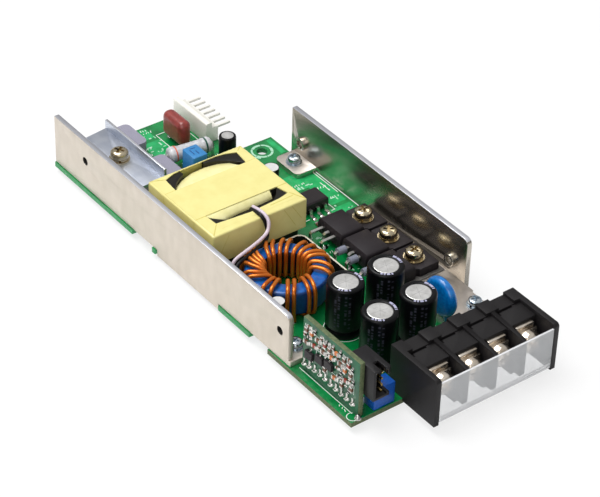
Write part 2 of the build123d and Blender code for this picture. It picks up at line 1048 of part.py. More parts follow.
white_route = (
    (22.4, 73.4, 14.2),
    (21.6, 70.4, 15.7),
    (20.7, 66.3, 16.9),
    (20.3, 63.5, 14.4),
    (17.9, 62.3, 12.2),
    (13.1, 60.5, 12.2),
    (9.3, 60.2, 12.4),
    (5.9, 59.2, 10.6),
    (4.4, 58.4, 7.0),
    (4.2, 58.3, 3.2),
    (4.3, 58.3, 0.0),
)
black_route = (
    (24.4, 73.0, 14.2),
    (23.5, 70.2, 15.8),
    (22.3, 66.2, 16.8),
    (22.0, 63.6, 13.9),
    (19.3, 60.8, 12.0),
    (13.6, 58.6, 12.0),
    (9.9, 58.7, 11.6),
    (5.4, 57.7, 9.9),
    (3.9, 56.6, 6.0),
    (3.4, 56.1, 2.6),
    (3.4, 56.1, 0.0),
)


def cord_radii(points):
    """The radius at each corner: as large as the two runs beside it allow."""
    corners = [Vector(*point) for point in points]
    radii = []
    for before, corner, after in zip(corners, corners[1:], corners[2:]):
        run_in = corner - before
        run_out = after - corner
        turn = math.radians(run_in.get_angle(run_out))
        radii.append(bend_share * min(run_in.length, run_out.length) / math.tan(turn / 2))
    return radii


def make_lead(points):
    """An insulated lead: straight runs joined by arcs that touch them."""
    path = FilletPolyline(*points, radius=cord_radii(points))
    start = Plane(origin=path @ 0, z_dir=path % 0)
    return sweep(start * RegularPolygon(lead_diameter / 2, lead_sides), path=path)


# Choke


def choke_lead_offset():
    return core_outer_diameter / 2 + wire_diameter / 2


def make_choke_core():
    """The coated ring core, with its edges broken."""
    outer = core_outer_diameter / 2
    inner = core_inner_diameter / 2
    low = core_lift
    high = core_lift + core_height
    outline = [
        (inner, low),
        (outer, low),
        (outer, high - core_edge),
        (outer - core_edge, high),
        (inner + core_edge, high),
        (inner, high - core_edge),
    ]
    return Pos(choke_x, choke_y, 0) * turned(outline)


def loop_span():
    """How near to and how far from the core's axis a turn of wire reaches."""
    reach = 2 * (wire_diameter / 2 + pair_play)
    inner_face = math.sqrt((core_inner_diameter / 2) ** 2 - reach**2)
    return inner_face - wire_diameter, core_outer_diameter / 2 + wire_diameter


def wire_loop():
    """One turn of wire round the core's section, in the plane of x and z."""
    near, far = loop_span()
    low = core_lift - wire_diameter
    high = core_lift + core_height + wire_arch + wire_diameter
    middle = Pos((near + far) / 2, (low + high) / 2)
    blank = Rectangle(far - near, high - low)
    outer = middle * chamfer(blank.vertices(), wire_corner)
    hole = middle * Rectangle(far - near - 2 * wire_diameter, high - low - 2 * wire_diameter)
    loop = extrude(Plane.XZ * (outer - hole), amount=wire_diameter / 2, both=True)
    return chamfer(outer_edges(loop, near, far, low, high), wire_chamfer)


def outer_edges(loop, near, far, low, high):
    """The edges along the outside of a wire turn."""
    edges = []
    for edge in loop.edges():
        middle = edge.center()
        inside_x = near + wire_diameter - nearness < middle.X < far - wire_diameter + nearness
        inside_z = low + wire_diameter - nearness < middle.Z < high - wire_diameter + nearness
        flat = abs(abs(middle.Y) - wire_diameter / 2) < nearness
        if flat and not (inside_x and inside_z):
            edges.append(edge)
    return edges


def make_choke_winding():
    """Pairs of turns round the core, with the bare stretch at the right front."""
    loop = wire_loop()
    tail = post(choke_lead_offset(), 0, (0, core_lift), wire_diameter)
    pieces = []
    for group in range(winding_groups):
        ends_here = group in (0, winding_groups - 1)
        turn = loop + tail if ends_here else loop
        for side in (-1, 1):
            pieces.append(choke_turn_place(group, side) * turn)
    return pieces


def choke_turn_place(group, side):
    """Where one turn of a pair stands round the core."""
    pitch = (360 - winding_gap_angle) / (winding_groups - 1)
    angle = winding_start_angle - group * pitch
    shift = side * (wire_diameter / 2 + pair_play)
    return Pos(choke_x, choke_y, 0) * Rot(0, 0, angle) * Pos(0, shift, 0)


def make_choke_wall():
    """The bent insulating sheet behind and to the right of the choke."""
    outer = FilletPolyline(
        (wall_right_x, wall_front_y),
        (wall_right_x, wall_back_y),
        (wall_left_x, wall_back_y),
        radius=wall_corner,
    )
    strip = make_face(
        Wire(
            [
                *outer.edges(),
                Line((wall_left_x, wall_back_y), (wall_left_x, wall_back_y - wall_thickness)),
                *inner_wall_line().edges(),
                Line((wall_right_x - wall_thickness, wall_front_y), (wall_right_x, wall_front_y)),
            ]
        )
    )
    return extrude(strip, amount=wall_height)


def inner_wall_line():
    inner_x = wall_right_x - wall_thickness
    inner_y = wall_back_y - wall_thickness
    return FilletPolyline(
        (wall_left_x, inner_y),
        (inner_x, inner_y),
        (inner_x, wall_front_y),
        radius=wall_corner - wall_thickness,
    )


# Capacitors


def make_output_capacitor(number):
    """A radial electrolytic: crimped can in a sleeve that turns over the rim of its top."""
    x, y = capacitor_centres[number]
    radius = capacitor_diameter / 2
    waist = radius - capacitor_crimp
    rim = radius - capacitor_rim
    outline = [
        (0, 0),
        (radius, 0),
        (radius, capacitor_crimp_height - capacitor_crimp_half),
        (waist, capacitor_crimp_height),
        (radius, capacitor_crimp_height + capacitor_crimp_half),
        (radius, capacitor_height - capacitor_shoulder),
        (radius - capacitor_shoulder, capacitor_height),
        (rim, capacitor_height),
        (rim, capacitor_height - capacitor_top_step),
        (0, capacitor_height - capacitor_top_step),
    ]
    return Pos(x, y, 0) * turned(outline)


def make_small_capacitors():
    pieces = []
    for x, y, diameter, height in small_capacitors:
        radius = diameter / 2
        edge = height - small_shoulder
        outline = [(0, 0), (radius, 0), (radius, edge), (radius - small_shoulder, height), (0, height)]
        pieces.append(Pos(x, y, 0) * turned(outline))
    return pieces


def disc_middle():
    return disc_lift + disc_diameter / 2


def film_middle():
    return film_lift + film_height / 2


def make_disc():
    """The blue dipped disc, standing with its axis across the board."""
    radius = disc_diameter / 2
    half = disc_thickness / 2
    outline = [
        (0, -half),
        (radius * disc_flat, -half),
        (radius * disc_shoulder, -half * disc_rim),
        (radius, 0),
        (radius * disc_shoulder, half * disc_rim),
        (radius * disc_flat, half),
        (0, half),
    ]
    return Pos(disc_x, disc_y, disc_middle()) * Rot(0, 90, 0) * turned(outline)


def make_film_capacitor():
    """The brown dipped capacitor, with soft edges all round."""
    x_span = (film_x - film_width / 2, film_x + film_width / 2)
    y_span = (film_y - film_length / 2, film_y + film_length / 2)
    body = block(x_span, y_span, (film_lift, film_lift + film_height))
    return fillet(body.edges(), film_round)


def make_box_capacitor():
    x_span = (box_x - box_width / 2, box_x + box_width / 2)
    y_span = (box_y - box_length / 2, box_y + box_length / 2)
    return chamfer(block(x_span, y_span, (0, box_height)).edges().filter_by(Axis.Z), box_edge)


def axial_direction():
    """Length and heading of the axial part."""
    dx = axial_end[0] - axial_start[0]
    dy = axial_end[1] - axial_start[1]
    return math.hypot(dx, dy), math.degrees(math.atan2(dy, dx))


def make_axial_part():
    """The axial part: a waisted barrel with a wider cap at each end."""
    length, heading = axial_direction()
    cap = axial_diameter / 2
    waist = axial_waist / 2
    outline = [
        (0, 0),
        (cap * axial_face, 0),
        (cap, axial_slope),
        (cap, axial_cap),
        (waist, axial_cap + axial_slope),
        (waist, length - axial_cap - axial_slope),
        (cap, length - axial_cap),
        (cap, length - axial_slope),
        (cap * axial_face, length),
        (0, length),
    ]
    place = Pos(*axial_start, axial_height) * Rot(0, 0, heading) * Rot(0, 90, 0)
    return place * turned(outline)


def make_component_leads(disc, film):
    """The bare leads of the disc, the film capacitor and the axial part."""
    length, heading = axial_direction()
    half = wire_lead / 2
    pieces = []
    for side in (-1, 1):
        y = disc_y + side * disc_lead_offset
        disc_lead = block((disc_x - half, disc_x + half), (y - half, y + half), (0, disc_middle()))
        pieces.append(disc_lead - disc)
        y = film_y + side * film_lead_offset
        film_lead = block((film_x - half, film_x + half), (y - half, y + half), (0, film_middle()))
        pieces.append(film_lead - film)
    bend = axial_bend + half
    left = section_along_y(axial_lead_outline(0, -bend), (-half, half))
    right = section_along_y(axial_lead_outline(length, length + bend), (-half, half))
    for lead in (left, right):
        pieces.append(Pos(*axial_start, 0) * Rot(0, 0, heading) * lead)
    return pieces


def axial_lead_outline(face, bend):
    """The outline of one axial lead, which turns down just outside the body."""
    half = wire_lead / 2
    out = half if bend > face else -half
    return [
        (face, axial_height + half),
        (bend, axial_height + half),
        (bend + out, axial_height - half),
        (bend + out, 0),
        (bend - out, 0),
        (bend - out, axial_height - half),
        (face, axial_height - half),
    ]


# Small chip


def make_chip_body():
    x_span = (chip_x - chip_width / 2, chip_x + chip_width / 2)
    y_span = (chip_y - chip_length / 2, chip_y + chip_length / 2)
    body = block(x_span, y_span, (chip_lift, chip_lift + chip_thickness))
    return chamfer(body.edges().group_by(Axis.Z)[-1], chip_edge)


def make_chip_legs():
    """Gull-wing legs along both long sides."""
    pieces = []
    half = chip_leg_width / 2
    middle = (chip_legs_per_side - 1) / 2
    shoulder = chip_lift + chip_thickness / 2
    for side in (-1, 1):
        face = chip_y + side * chip_length / 2
        knee = face + side * chip_knee
        toe = face + side * chip_leg_reach
        for index in range(chip_legs_per_side):
            x = chip_x + (index - middle) * chip_leg_pitch
            outline = [
                (face, shoulder),
                (knee, shoulder),
                (knee + side * chip_leg_thickness, chip_leg_thickness),
                (toe, chip_leg_thickness),
                (toe, 0),
                (knee, 0),
                (knee - side * chip_leg_thickness, shoulder - chip_leg_thickness),
                (face, shoulder - chip_leg_thickness),
            ]
            pieces.append(section_along_x(outline, (x - half, x + half)))
    return pieces


# Terminal block


def way_x(index):
    return block_centre_x + (index - (ways - 1) / 2) * way_pitch


def block_span():
    half = ways * way_pitch / 2 - divider / 2 + end_wall + block_end_play
    return (block_centre_x - half, block_centre_x + half)


def end_plate(x_span):
    """An end plate of the block, with its front top corner rounded."""
    plate = block(x_span, (block_front, block_back), (block_bottom, block_top))
    corner = plate.edges().filter_by(Axis.X).group_by(Axis.Z)[-1].sort_by(Axis.Y)[0]
    return fillet(corner, block_corner)


def divider_wall(x):
    """A wall between two ways, with a stepped foot and a sloping front corner."""
    outline = [
        (0, divider_foot),
        (divider_step_front, divider_foot),
        (divider_step_back, divider_toe),
        (divider_front + divider_nose, divider_toe),
        (divider_front, divider_toe + divider_nose),
        (divider_front, divider_top - divider_nose),
        (divider_front + divider_slope, divider_top),
        (hub_front, hub_top()),
        (block_back, hub_top()),
        (block_back, 0),
        (0, 0),
    ]
    return section_along_x(outline, (x - divider / 2, x + divider / 2))


def hub_top():
    return block_top - hub_step


def make_block_housing(plates):
    """The moulded housing: end plates, dividers, hubs and the block that carries the terminals."""
    span = block_span()
    inner = (span[0] + end_wall, span[1] - end_wall)
    housing = block(inner, (way_front, 0), (block_lip, way_top))
    housing += block(inner, (0, block_back), (0, way_top))
    housing += block(inner, (hub_front, block_back), (way_top, way_shelf))
    housing += end_plate((span[0], inner[0]))
    housing += end_plate((inner[1], span[1]))
    hubs = [(span[0], span[0] + end_hub_width), (span[1] - end_hub_width, span[1])]
    for index in range(ways - 1):
        x = (way_x(index) + way_x(index + 1)) / 2
        housing += divider_wall(x)
        hubs.append((x - hub_width / 2, x + hub_width / 2))
    for hub in hubs:
        housing += block(hub, (hub_front, block_back), (way_shelf, block_top))
    for index in range(ways):
        x = way_x(index)
        slot_start = x - slot_reach
        slot_z = (way_top - slot_depth, way_top)
        housing -= block((slot_start, slot_start + slot_length), (hub_front - slot_width, hub_front), slot_z)
        hook = (hub_front - slot_hook, hub_front)
        housing -= block((slot_start, slot_start + slot_width), hook, slot_z)
        shank_room = (way_front, way_front + terminal_screw_depth)
        hole = terminal_screw_shank + terminal_hole_play
        housing -= bar_along_y(x, shank_room, terminal_screw_height, hole)
    return housing - block(span, (0, block_back), (block_bottom, 0)) - plates


def make_terminal_plates():
    """The terminals: an upright plate in each way, with a tail through the housing to the board."""
    pieces = []
    half = terminal_plate_width / 2
    pin = terminal_pin / 2
    for index in range(ways):
        x = way_x(index)
        front = way_front - terminal_plate
        plate = block((x - half, x + half), (front, way_front), (terminal_plate_bottom, terminal_plate_top))
        depth = (front, way_front)
        plate -= bar_along_y(x, depth, terminal_screw_height, terminal_screw_shank)
        tail_z = (terminal_plate_bottom, terminal_plate_bottom + terminal_pin)
        plate += block((x - pin, x + pin), (way_front, terminal_pin_y + pin), tail_z)
        tail_y = (terminal_pin_y - pin, terminal_pin_y + pin)
        plate += block((x - pin, x + pin), tail_y, (0, terminal_plate_bottom))
        pieces.append(plate)
    return pieces


def terminal_washer_front():
    return way_front - terminal_plate - terminal_washer_thickness


def make_terminal_washers():
    """A square pressure washer on each terminal screw."""
    half = terminal_washer / 2
    pieces = []
    z = terminal_screw_height
    z_span = (z - terminal_washer_height / 2, z + terminal_washer_height / 2)
    for index in range(ways):
        x = way_x(index)
        depth = (terminal_washer_front(), way_front - terminal_plate)
        washer = block((x - half, x + half), depth, z_span)
        pieces.append(washer - bar_along_y(x, depth, z, terminal_screw_shank))
    return pieces


def make_terminal_screws():
    """The terminal screws, which point back into the housing."""
    head = terminal_screw_head / 2
    shank = terminal_screw_shank / 2
    depth = terminal_washer_thickness + terminal_plate + terminal_screw_depth - terminal_tip_play
    outline = [
        (0, -depth),
        (shank, -depth),
        (shank, 0),
        (head, 0),
        (head, terminal_screw_head_height * head_shoulder),
        (head * head_crown, terminal_screw_head_height),
        (0, terminal_screw_head_height),
    ]
    screw = Rot(90, 0, 0) * turned(outline)
    return [Pos(way_x(i), terminal_washer_front(), terminal_screw_height) * screw for i in range(ways)]


def make_terminal_cover():
    """The clear sheet that snaps in between the end plates in front of the screws."""
    span = block_span()
    x_span = (span[0] + end_wall + end_play, span[1] - end_wall - end_play)
    back = divider_front - cover_play
    return block(x_span, (back - cover_thickness, back), (cover_bottom, cover_top))


# Control board


def control_pin_ys():
    return [control_pin_front + index * control_pin_pitch for index in range(control_pin_count)]


def make_control_pins():
    """Right-angle pins that carry the control board and join it to the main board."""
    half = control_pin / 2
    inner = control_x + control_thickness
    bend = inner + control_pin_reach
    outline = [
        (control_x - control_pin_tip, control_pin_height + half),
        (bend, control_pin_height + half),
        (bend + half, control_pin_height),
        (bend + half, 0),
        (bend - half, 0),
        (bend - half, control_pin_height - half),
        (control_x - control_pin_tip, control_pin_height - half),
    ]
    return [section_along_y(outline, (y - half, y + half)) for y in control_pin_ys()]


def make_control_board(pins):
    x_span = (control_x, control_x + control_thickness)
    y_span = (control_front, control_front + control_length)
    return block(x_span, y_span, (0, control_height)) - pins


def surface_part(y, z, length, height, rise):
    """A small part on the control board's outer face."""
    y_span = (y - length / 2, y + length / 2)
    return block((control_x - rise, control_x), y_span, (z - height / 2, z + height / 2))


def make_control_parts():
    """Small parts on the control board: three packages and rows of chips."""
    pieces = []
    for y, z in control_packages:
        pieces.append(surface_part(y, z, package_length, package_height, package_rise))
    for y, z in control_chips:
        pieces.append(surface_part(y, z, control_chip_length, control_chip_height, control_chip_rise))
    return pieces


def header_span():
    start = control_x + control_thickness
    return (start, start + header_width)


def header_pin_spots():
    """x and z of each header pin."""
    start, end = header_span()
    middle = (start + end) / 2
    top = header_top - header_wall - header_pin_drop
    return [(middle + side, top - row * header_pitch) for side in (-1, 1) for row in range(header_rows)]


def make_header_pins():
    half = header_pin / 2
    y_span = (header_front + header_pin_setback, header_back - header_pin_end)
    pieces = []
    for x, z in header_pin_spots():
        pieces.append(block((x - half, x + half), y_span, (z - half, z + half)))
    return pieces


def make_signal_header(pins):
    """The shrouded header: a box open at the front, with a key notch and a cut-away outer wall."""
    start, end = header_span()
    header = block((start, end), (header_front, header_back), (header_bottom, header_top))
    room_x = (start + header_wall, end - header_wall)
    room_y = (header_front, header_back - header_back_wall)
    header -= block(room_x, room_y, (header_bottom + header_wall, header_top - header_wall))
    notch_x = (start + header_notch_start, start + header_notch_start + header_notch_width)
    notch_y = (header_front, header_front + header_notch_length)
    header -= block(notch_x, notch_y, (header_top - header_wall, header_top))
    window_z = (header_bottom + header_window_low, header_top - header_window_high)
    window_y = (header_front, header_front + header_notch_length)
    header -= block((end - header_wall, end), window_y, window_z)
    return header - pins


def make_trimmer():
    """The trimmer's moulded box, with a step along its top."""
    x_span = (trimmer_x, trimmer_x + trimmer_width)
    y_span = (trimmer_y, trimmer_y + trimmer_depth)
    body = block(x_span, y_span, (0, trimmer_height))
    step_x = (x_span[0], x_span[0] + trimmer_step_width)
    step_y = (y_span[1] - trimmer_step_depth, y_span[1])
    return body - block(step_x, step_y, (trimmer_height - trimmer_step, trimmer_height))


def make_trimmer_rotor():
    """The slotted brass screw on the trimmer's right side."""
    start = trimmer_x + trimmer_width
    end = start + rotor_height
    y = trimmer_y + trimmer_depth / 2
    z = trimmer_height - rotor_diameter / 2 - trimmer_step
    rotor = bar_along_x((start, end), y, z, rotor_diameter)
    half = rotor_slot_width / 2
    return rotor - block((end - rotor_slot_depth, end), (y - half, y + half), (0, trimmer_height))


# Input connector


def connector_pin_y(index):
    return connector_centre_y + (index - (connector_ways - 1) / 2) * connector_pitch


def connector_span():
    return (narrow_part_edge - connector_wall, narrow_part_edge)


def connector_tail_x():
    return narrow_part_edge - connector_wall / 2


def make_connector_pins():
    half = connector_pin / 2
    tail = connector_tail_x()
    tip = narrow_part_edge + connector_pin_reach
    z = connector_pin_height
    outline = [
        (tail - half, 0),
        (tail + half, 0),
        (tail + half, z - half),
        (tip, z - half),
        (tip, z + half),
        (tail - half, z + half),
    ]
    pieces = []
    for index in range(connector_ways):
        y = connector_pin_y(index)
        pieces.append(section_along_y(outline, (y - half, y + half)))
    return pieces


def make_input_connector(pins):
    """The white connector: a low base for the pins with a taller rounded ridge along its back."""
    half = (connector_ways - 1) * connector_pitch / 2 + connector_end
    y_span = (connector_centre_y - half, connector_centre_y + half)
    x_span = connector_span()
    housing = block(x_span, y_span, (0, connector_base_height))
    ridge_x = (x_span[0], x_span[0] + connector_ridge_width)
    ridge = block(ridge_x, y_span, (0, connector_ridge_height))
    crest = ridge.edges().filter_by(Axis.Y).group_by(Axis.Z)[-1]
    return housing + fillet(crest, connector_round) - pins


# Small surface parts on the main board


def make_surface_parts():
    """Chip parts round the small integrated circuit and behind the transistors."""
    half_width = surface_chip_width / 2
    half_length = surface_chip_length / 2
    pieces = []
    for x, y in surface_chip_spots:
        x_span = (x - half_width, x + half_width)
        pieces.append(block(x_span, (y - half_length, y + half_length), (0, surface_chip_rise)))
    return pieces


# All nodes


def all_nodes():
    control_pins = make_control_pins()
    header_pins = make_header_pins()
    connector_pins = make_connector_pins()
    terminal_plates = make_terminal_plates()
    transistor_leads = make_transistor_leads()
    disc = make_disc()
    film = make_film_capacitor()
    nodes = {
        "main_board": make_main_board(),
        "solder_joints": make_solder_joints(),
        "left_heatsink_plate": make_left_plate(),
        "right_heatsink_bracket": make_right_bracket(),
        "board_screws": make_board_screws(),
        "board_screw_washers": make_board_washers(),
        "board_nuts": make_board_nuts(),
        "clamp_channel": make_clamp_channel(),
        "clamp_screw": make_clamp_screw(),
        "clamp_screw_washers": make_clamp_washers(),
        "insulating_caps": make_insulating_caps(),
        "primary_transistors": make_primary_transistors(),
        "transistor_pad": make_transistor_pad(),
        "transistor_leads": transistor_leads,
        "lead_sleeves": make_lead_sleeves(Compound(transistor_leads)),
        "transistor_screws": make_transistor_screws(),
        "transistor_washers": make_transistor_washers(),
        "transformer_core_upper": make_core_upper(),
        "transformer_core_lower": make_core_lower(),
        "transformer_bobbin": make_bobbin(),
        "transformer_winding": make_winding(),
        "transformer_tape": make_transformer_tape(),
        "transformer_pins": make_transformer_pins(),
        "transformer_lead_white": make_lead(white_route),
        "transformer_lead_black": make_lead(black_route),
        "choke_core": make_choke_core(),
        "choke_winding": make_choke_winding(),
        "choke_wall": make_choke_wall(),
        "small_capacitors": make_small_capacitors(),
        "disc_capacitor": disc,
        "film_capacitor": film,
        "box_capacitor": make_box_capacitor(),
        "axial_part": make_axial_part(),
        "component_leads": make_component_leads(disc, film),
        "chip_body": make_chip_body(),
        "chip_legs": make_chip_legs(),
        "terminal_housing": make_block_housing(Compound(terminal_plates)),
        "terminal_plates": terminal_plates,
        "terminal_washers": make_terminal_washers(),
        "terminal_screws": make_terminal_screws(),
        "terminal_cover": make_terminal_cover(),
        "control_board": make_control_board(Compound(control_pins)),
        "control_board_pins": control_pins,
        "control_board_parts": make_control_parts(),
        "signal_header": make_signal_header(Compound(header_pins)),
        "signal_header_pins": header_pins,
        "trimmer_body": make_trimmer(),
        "trimmer_rotor": make_trimmer_rotor(),
        "connector_housing": make_input_connector(Compound(connector_pins)),
        "connector_pins": connector_pins,
        "surface_parts": make_surface_parts(),
    }
    for number in range(transistor_count):
        nodes[f"power_transistor_{number + 1}"] = make_power_transistor(number)
    for number in range(len(capacitor_centres)):
        nodes[f"output_capacitor_{number + 1}"] = make_output_capacitor(number)
    return nodes


# The part's own origin is at the middle of its footprint, on the plane that its lowest nuts rest on.
origin_x = (frame_width - board_overhang) / 2
origin_y = (board_length + block_front) / 2
origin_z = nut_bottom

os.makedirs("parts", exist_ok=True)
for name, shape in all_nodes().items():
    solid = Compound(list(shape)) if isinstance(shape, (list, ShapeList)) else shape
    export_step(Pos(-origin_x, -origin_y, -origin_z) * solid, f"parts/{name}.step")
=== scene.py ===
# %% [markdown]
# An open-frame switching power supply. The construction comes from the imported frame: every solid is
# already at its real size and place, in metres. This lesson gives each of those pieces its finish
# and models the details that a solid leaves plain, such as wound copper wire, cross-recessed screw
# heads, shrunk sleeves, folded tape and printed marks.

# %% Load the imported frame
import math
import random
import bmesh
import bpy
from mathutils import Matrix, Vector


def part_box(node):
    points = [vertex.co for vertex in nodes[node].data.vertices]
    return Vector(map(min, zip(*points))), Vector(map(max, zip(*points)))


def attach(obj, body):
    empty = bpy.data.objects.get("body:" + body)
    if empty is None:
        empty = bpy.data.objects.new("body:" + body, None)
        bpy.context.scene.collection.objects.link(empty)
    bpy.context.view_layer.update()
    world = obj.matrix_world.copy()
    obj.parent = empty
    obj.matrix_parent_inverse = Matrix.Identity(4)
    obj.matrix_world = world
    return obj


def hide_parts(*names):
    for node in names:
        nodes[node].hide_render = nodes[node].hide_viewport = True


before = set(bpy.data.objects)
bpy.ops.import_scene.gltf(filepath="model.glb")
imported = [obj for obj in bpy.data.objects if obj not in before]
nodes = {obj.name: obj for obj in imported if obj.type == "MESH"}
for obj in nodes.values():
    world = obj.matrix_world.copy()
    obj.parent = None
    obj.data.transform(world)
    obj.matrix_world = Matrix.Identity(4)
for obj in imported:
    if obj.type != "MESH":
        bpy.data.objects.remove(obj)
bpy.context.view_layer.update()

scene = bpy.context.scene

# %% [markdown]
# Places on the board are easiest to read the way a board designer gives them: in millimetres from
# the board's front left corner, with z counted from its top face. The left plate's outer face
# stands at zero in x, and the board reaches a little past it, so the corner to measure from is
# found from the board and that overhang.

# %% Measure from the board's corner
MM = 0.001
OVERHANG = 0.35
board_low, board_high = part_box("main_board")
corner = Vector((board_low.x + OVERHANG * MM, board_low.y, board_high.z))


def spot(x, y, z=0.0):
    """A place on the board, in millimetres from its corner, as a point in metres."""
    return corner + Vector((x, y, z)) * MM


def shown(name, data):
    """A new object in the scene."""
    thing = bpy.data.objects.new(name, data)
    scene.collection.objects.link(thing)
    return thing


print("board corner:", [round(value, 4) for value in corner])

# %% [markdown]
# The camera stands where the photographer stood. Its heading, height, roll, distance and lens were
# found by fitting the object's own square edges, so the picture's outlines fall in the same places.

# %% Camera
LENS, SENSOR = 141.17, 36.0
DISTANCE = 642.92 * MM
HEADING, ELEVATION, ROLL = (math.radians(angle) for angle in (-38.01, 37.09, 1.88))
aim = spot(32.45, 65.0, 0.0)
level_ahead = Vector((-math.sin(HEADING), math.cos(HEADING), 0))
ahead = level_ahead * math.cos(ELEVATION) - Vector((0, 0, math.sin(ELEVATION)))
level = ahead.cross(Vector((0, 0, 1))).normalized()
upright = level.cross(ahead)
right = math.cos(ROLL) * level + math.sin(ROLL) * upright
up = math.cos(ROLL) * upright - math.sin(ROLL) * level
camera_data = bpy.data.cameras.new("camera")
camera_data.lens = LENS
camera_data.sensor_width = SENSOR
camera = shown("camera", camera_data)
stand = Matrix((right, up, -ahead)).transposed().to_4x4()
stand.translation = aim - ahead * DISTANCE
camera.matrix_world = stand
scene.camera = camera
print("camera at", [round(value, 4) for value in stand.translation])

# %% [markdown]
# Every finish starts from the same shader. These helpers add the few nodes that most finishes
# share: a noise on the piece's own coordinates, two tones between which it wanders, and a bump.
# Colours are written as screen values from 0 to 255 and turned to light values once, here. A photo
# could be wrapped round each piece instead, but noise needs no unwrapping and fits any shape.

# %% Finish helpers
def tone(*colour):
    """A screen colour as the linear colour that a shader takes."""
    levels = [value / 255 for value in colour]
    linear = [level / 12.92 if level <= 0.04045 else ((level + 0.055) / 1.055) ** 2.4 for level in levels]
    return (*linear, 1.0)


def set_inputs(node, values):
    """Sets some of a node's inputs by their names."""
    for label, value in values.items():
        node.inputs[label].default_value = value
    return node


def add(owner, kind, **values):
    """A shader node in a material or in the world, with some of its inputs set."""
    return set_inputs(owner.node_tree.nodes.new("ShaderNode" + kind), values)


def wire(source, target):
    """Links two sockets in the node tree that holds them."""
    source.id_data.links.new(source, target)


def finish(name, colour, roughness, metallic=0.0, coat=0.0):
    """A new material and its shader."""
    material = bpy.data.materials.new(name)
    material.use_nodes = True
    shader = material.node_tree.nodes["Principled BSDF"]
    values = {"Base Color": tone(*colour), "Roughness": roughness, "Metallic": metallic}
    return material, set_inputs(shader, values | {"Coat Weight": coat})


def noise(material, scale, detail=3.0, stretch=(1, 1, 1)):
    """Noise on the object's own coordinates: scale is in patches per millimetre."""
    mapping = add(material, "Mapping", Scale=[scale * axis / MM for axis in stretch])
    texture = add(material, "TexNoise", Scale=1.0, Detail=detail)
    wire(add(material, "TexCoord").outputs["Object"], mapping.inputs["Vector"])
    wire(mapping.outputs["Vector"], texture.inputs["Vector"])
    return texture.outputs["Fac"]


def ramp(owner, factor, *stops):
    """A colour that runs with the factor between two stops of (place, colour)."""
    node = add(owner, "ValToRGB")
    for element, (place, colour) in zip(node.color_ramp.elements, stops):
        element.position = place
        element.color = colour
    wire(factor, node.inputs["Fac"])
    return node.outputs["Color"]


def two_tones(material, shader, factor, dark, light):
    """The base colour wanders between two tones."""
    colour = ramp(material, factor, (0.35, tone(*dark)), (0.65, tone(*light)))
    wire(colour, shader.inputs["Base Color"])


def relief(material, shader, factor, height, strength):
    """A bump of that height in millimetres."""
    bump = add(material, "Bump", Strength=strength, Distance=height * MM)
    wire(factor, bump.inputs["Height"])
    wire(bump.outputs["Normal"], shader.inputs["Normal"])


def plastic(name, dark, light, roughness, shine=0.5, coat=0.0, grain=6.0, height=0.02):
    """Moulded plastic or dipped coating: two close tones and a fine grain."""
    material, shader = finish(name, dark, roughness, coat=coat)
    set_inputs(shader, {"Specular IOR Level": shine})
    factor = noise(material, grain)
    two_tones(material, shader, factor, dark, light)
    relief(material, shader, factor, height, 0.4)
    return material


def metal(name, dark, light, glossy, dull, scale=0.4, height=0.004, stretch=(1, 1, 1), metallic=1.0):
    """Metal whose tone and gloss wander along its rolling or turning direction."""
    material, shader = finish(name, dark, glossy, metallic)
    factor = noise(material, scale, 5.0, stretch)
    two_tones(material, shader, factor, dark, light)
    gloss = add(material, "MapRange", **{"To Min": glossy, "To Max": dull})
    wire(noise(material, scale * 2, 4.0, stretch), gloss.inputs["Value"])
    wire(gloss.outputs["Result"], shader.inputs["Roughness"])
    relief(material, shader, factor, height, 0.25)
    return material


print("finish helpers ready")

# %% [markdown]
# Plain soft studio light: a pale world that is brighter overhead, one wide softbox above and behind
# the object, and a weaker one by the camera. Their sum is set so that a colour renders about as it
# is written. Small hard lamps would put sharp spots on the metal, so both lamps are wide.

# %% Light
WHITE = (1, 1, 1, 1)
LOW_SKY, HIGH_SKY = (0.0, (0.42, 0.42, 0.43, 1)), (0.9, (0.95, 0.95, 0.95, 1))
SKY_STRENGTH = 0.62
scene.view_settings.view_transform = "Standard"
world = bpy.data.worlds.new("studio")
scene.world = world
world.use_nodes = True
background = set_inputs(world.node_tree.nodes["Background"], {"Strength": SKY_STRENGTH})
sky = add(world, "SeparateXYZ")
wire(add(world, "TexCoord").outputs["Generated"], sky.inputs["Vector"])
wire(ramp(world, sky.outputs["Z"], LOW_SKY, HIGH_SKY), background.inputs["Color"])
world_mix = add(world, "MixShader")
wire(add(world, "LightPath").outputs["Is Camera Ray"], world_mix.inputs["Fac"])
wire(background.outputs["Background"], world_mix.inputs[1])
wire(add(world, "Background", Color=WHITE).outputs["Background"], world_mix.inputs[2])
wire(world_mix.outputs["Shader"], world.node_tree.nodes["World Output"].inputs["Surface"])

SOFTBOXES = (
    ("top_softbox", (-0.25, 0.35, 1.0), 0.75, 0.5, 5.2),
    ("camera_fill", (-1.0, -0.75, 0.75), 0.9, 0.6, 2.2),
)
for name, direction, distance, size, power in SOFTBOXES:
    lamp_data = bpy.data.lights.new(name, "AREA")
    lamp_data.shape = "SQUARE"
    lamp_data.size = size
    lamp_data.energy = power
    lamp = shown(name, lamp_data)
    towards = Vector(direction).normalized()
    lamp.location = aim + towards * distance
    lamp.rotation_euler = towards.to_track_quat("Z", "Y").to_euler()

# %% [markdown]
# The floor glows by itself where the camera sees it, straight or through something clear, so it
# comes out nearly white. For mirrored and scattered light it is ordinary matt paper, and the
# object's soft shadow stays on it.

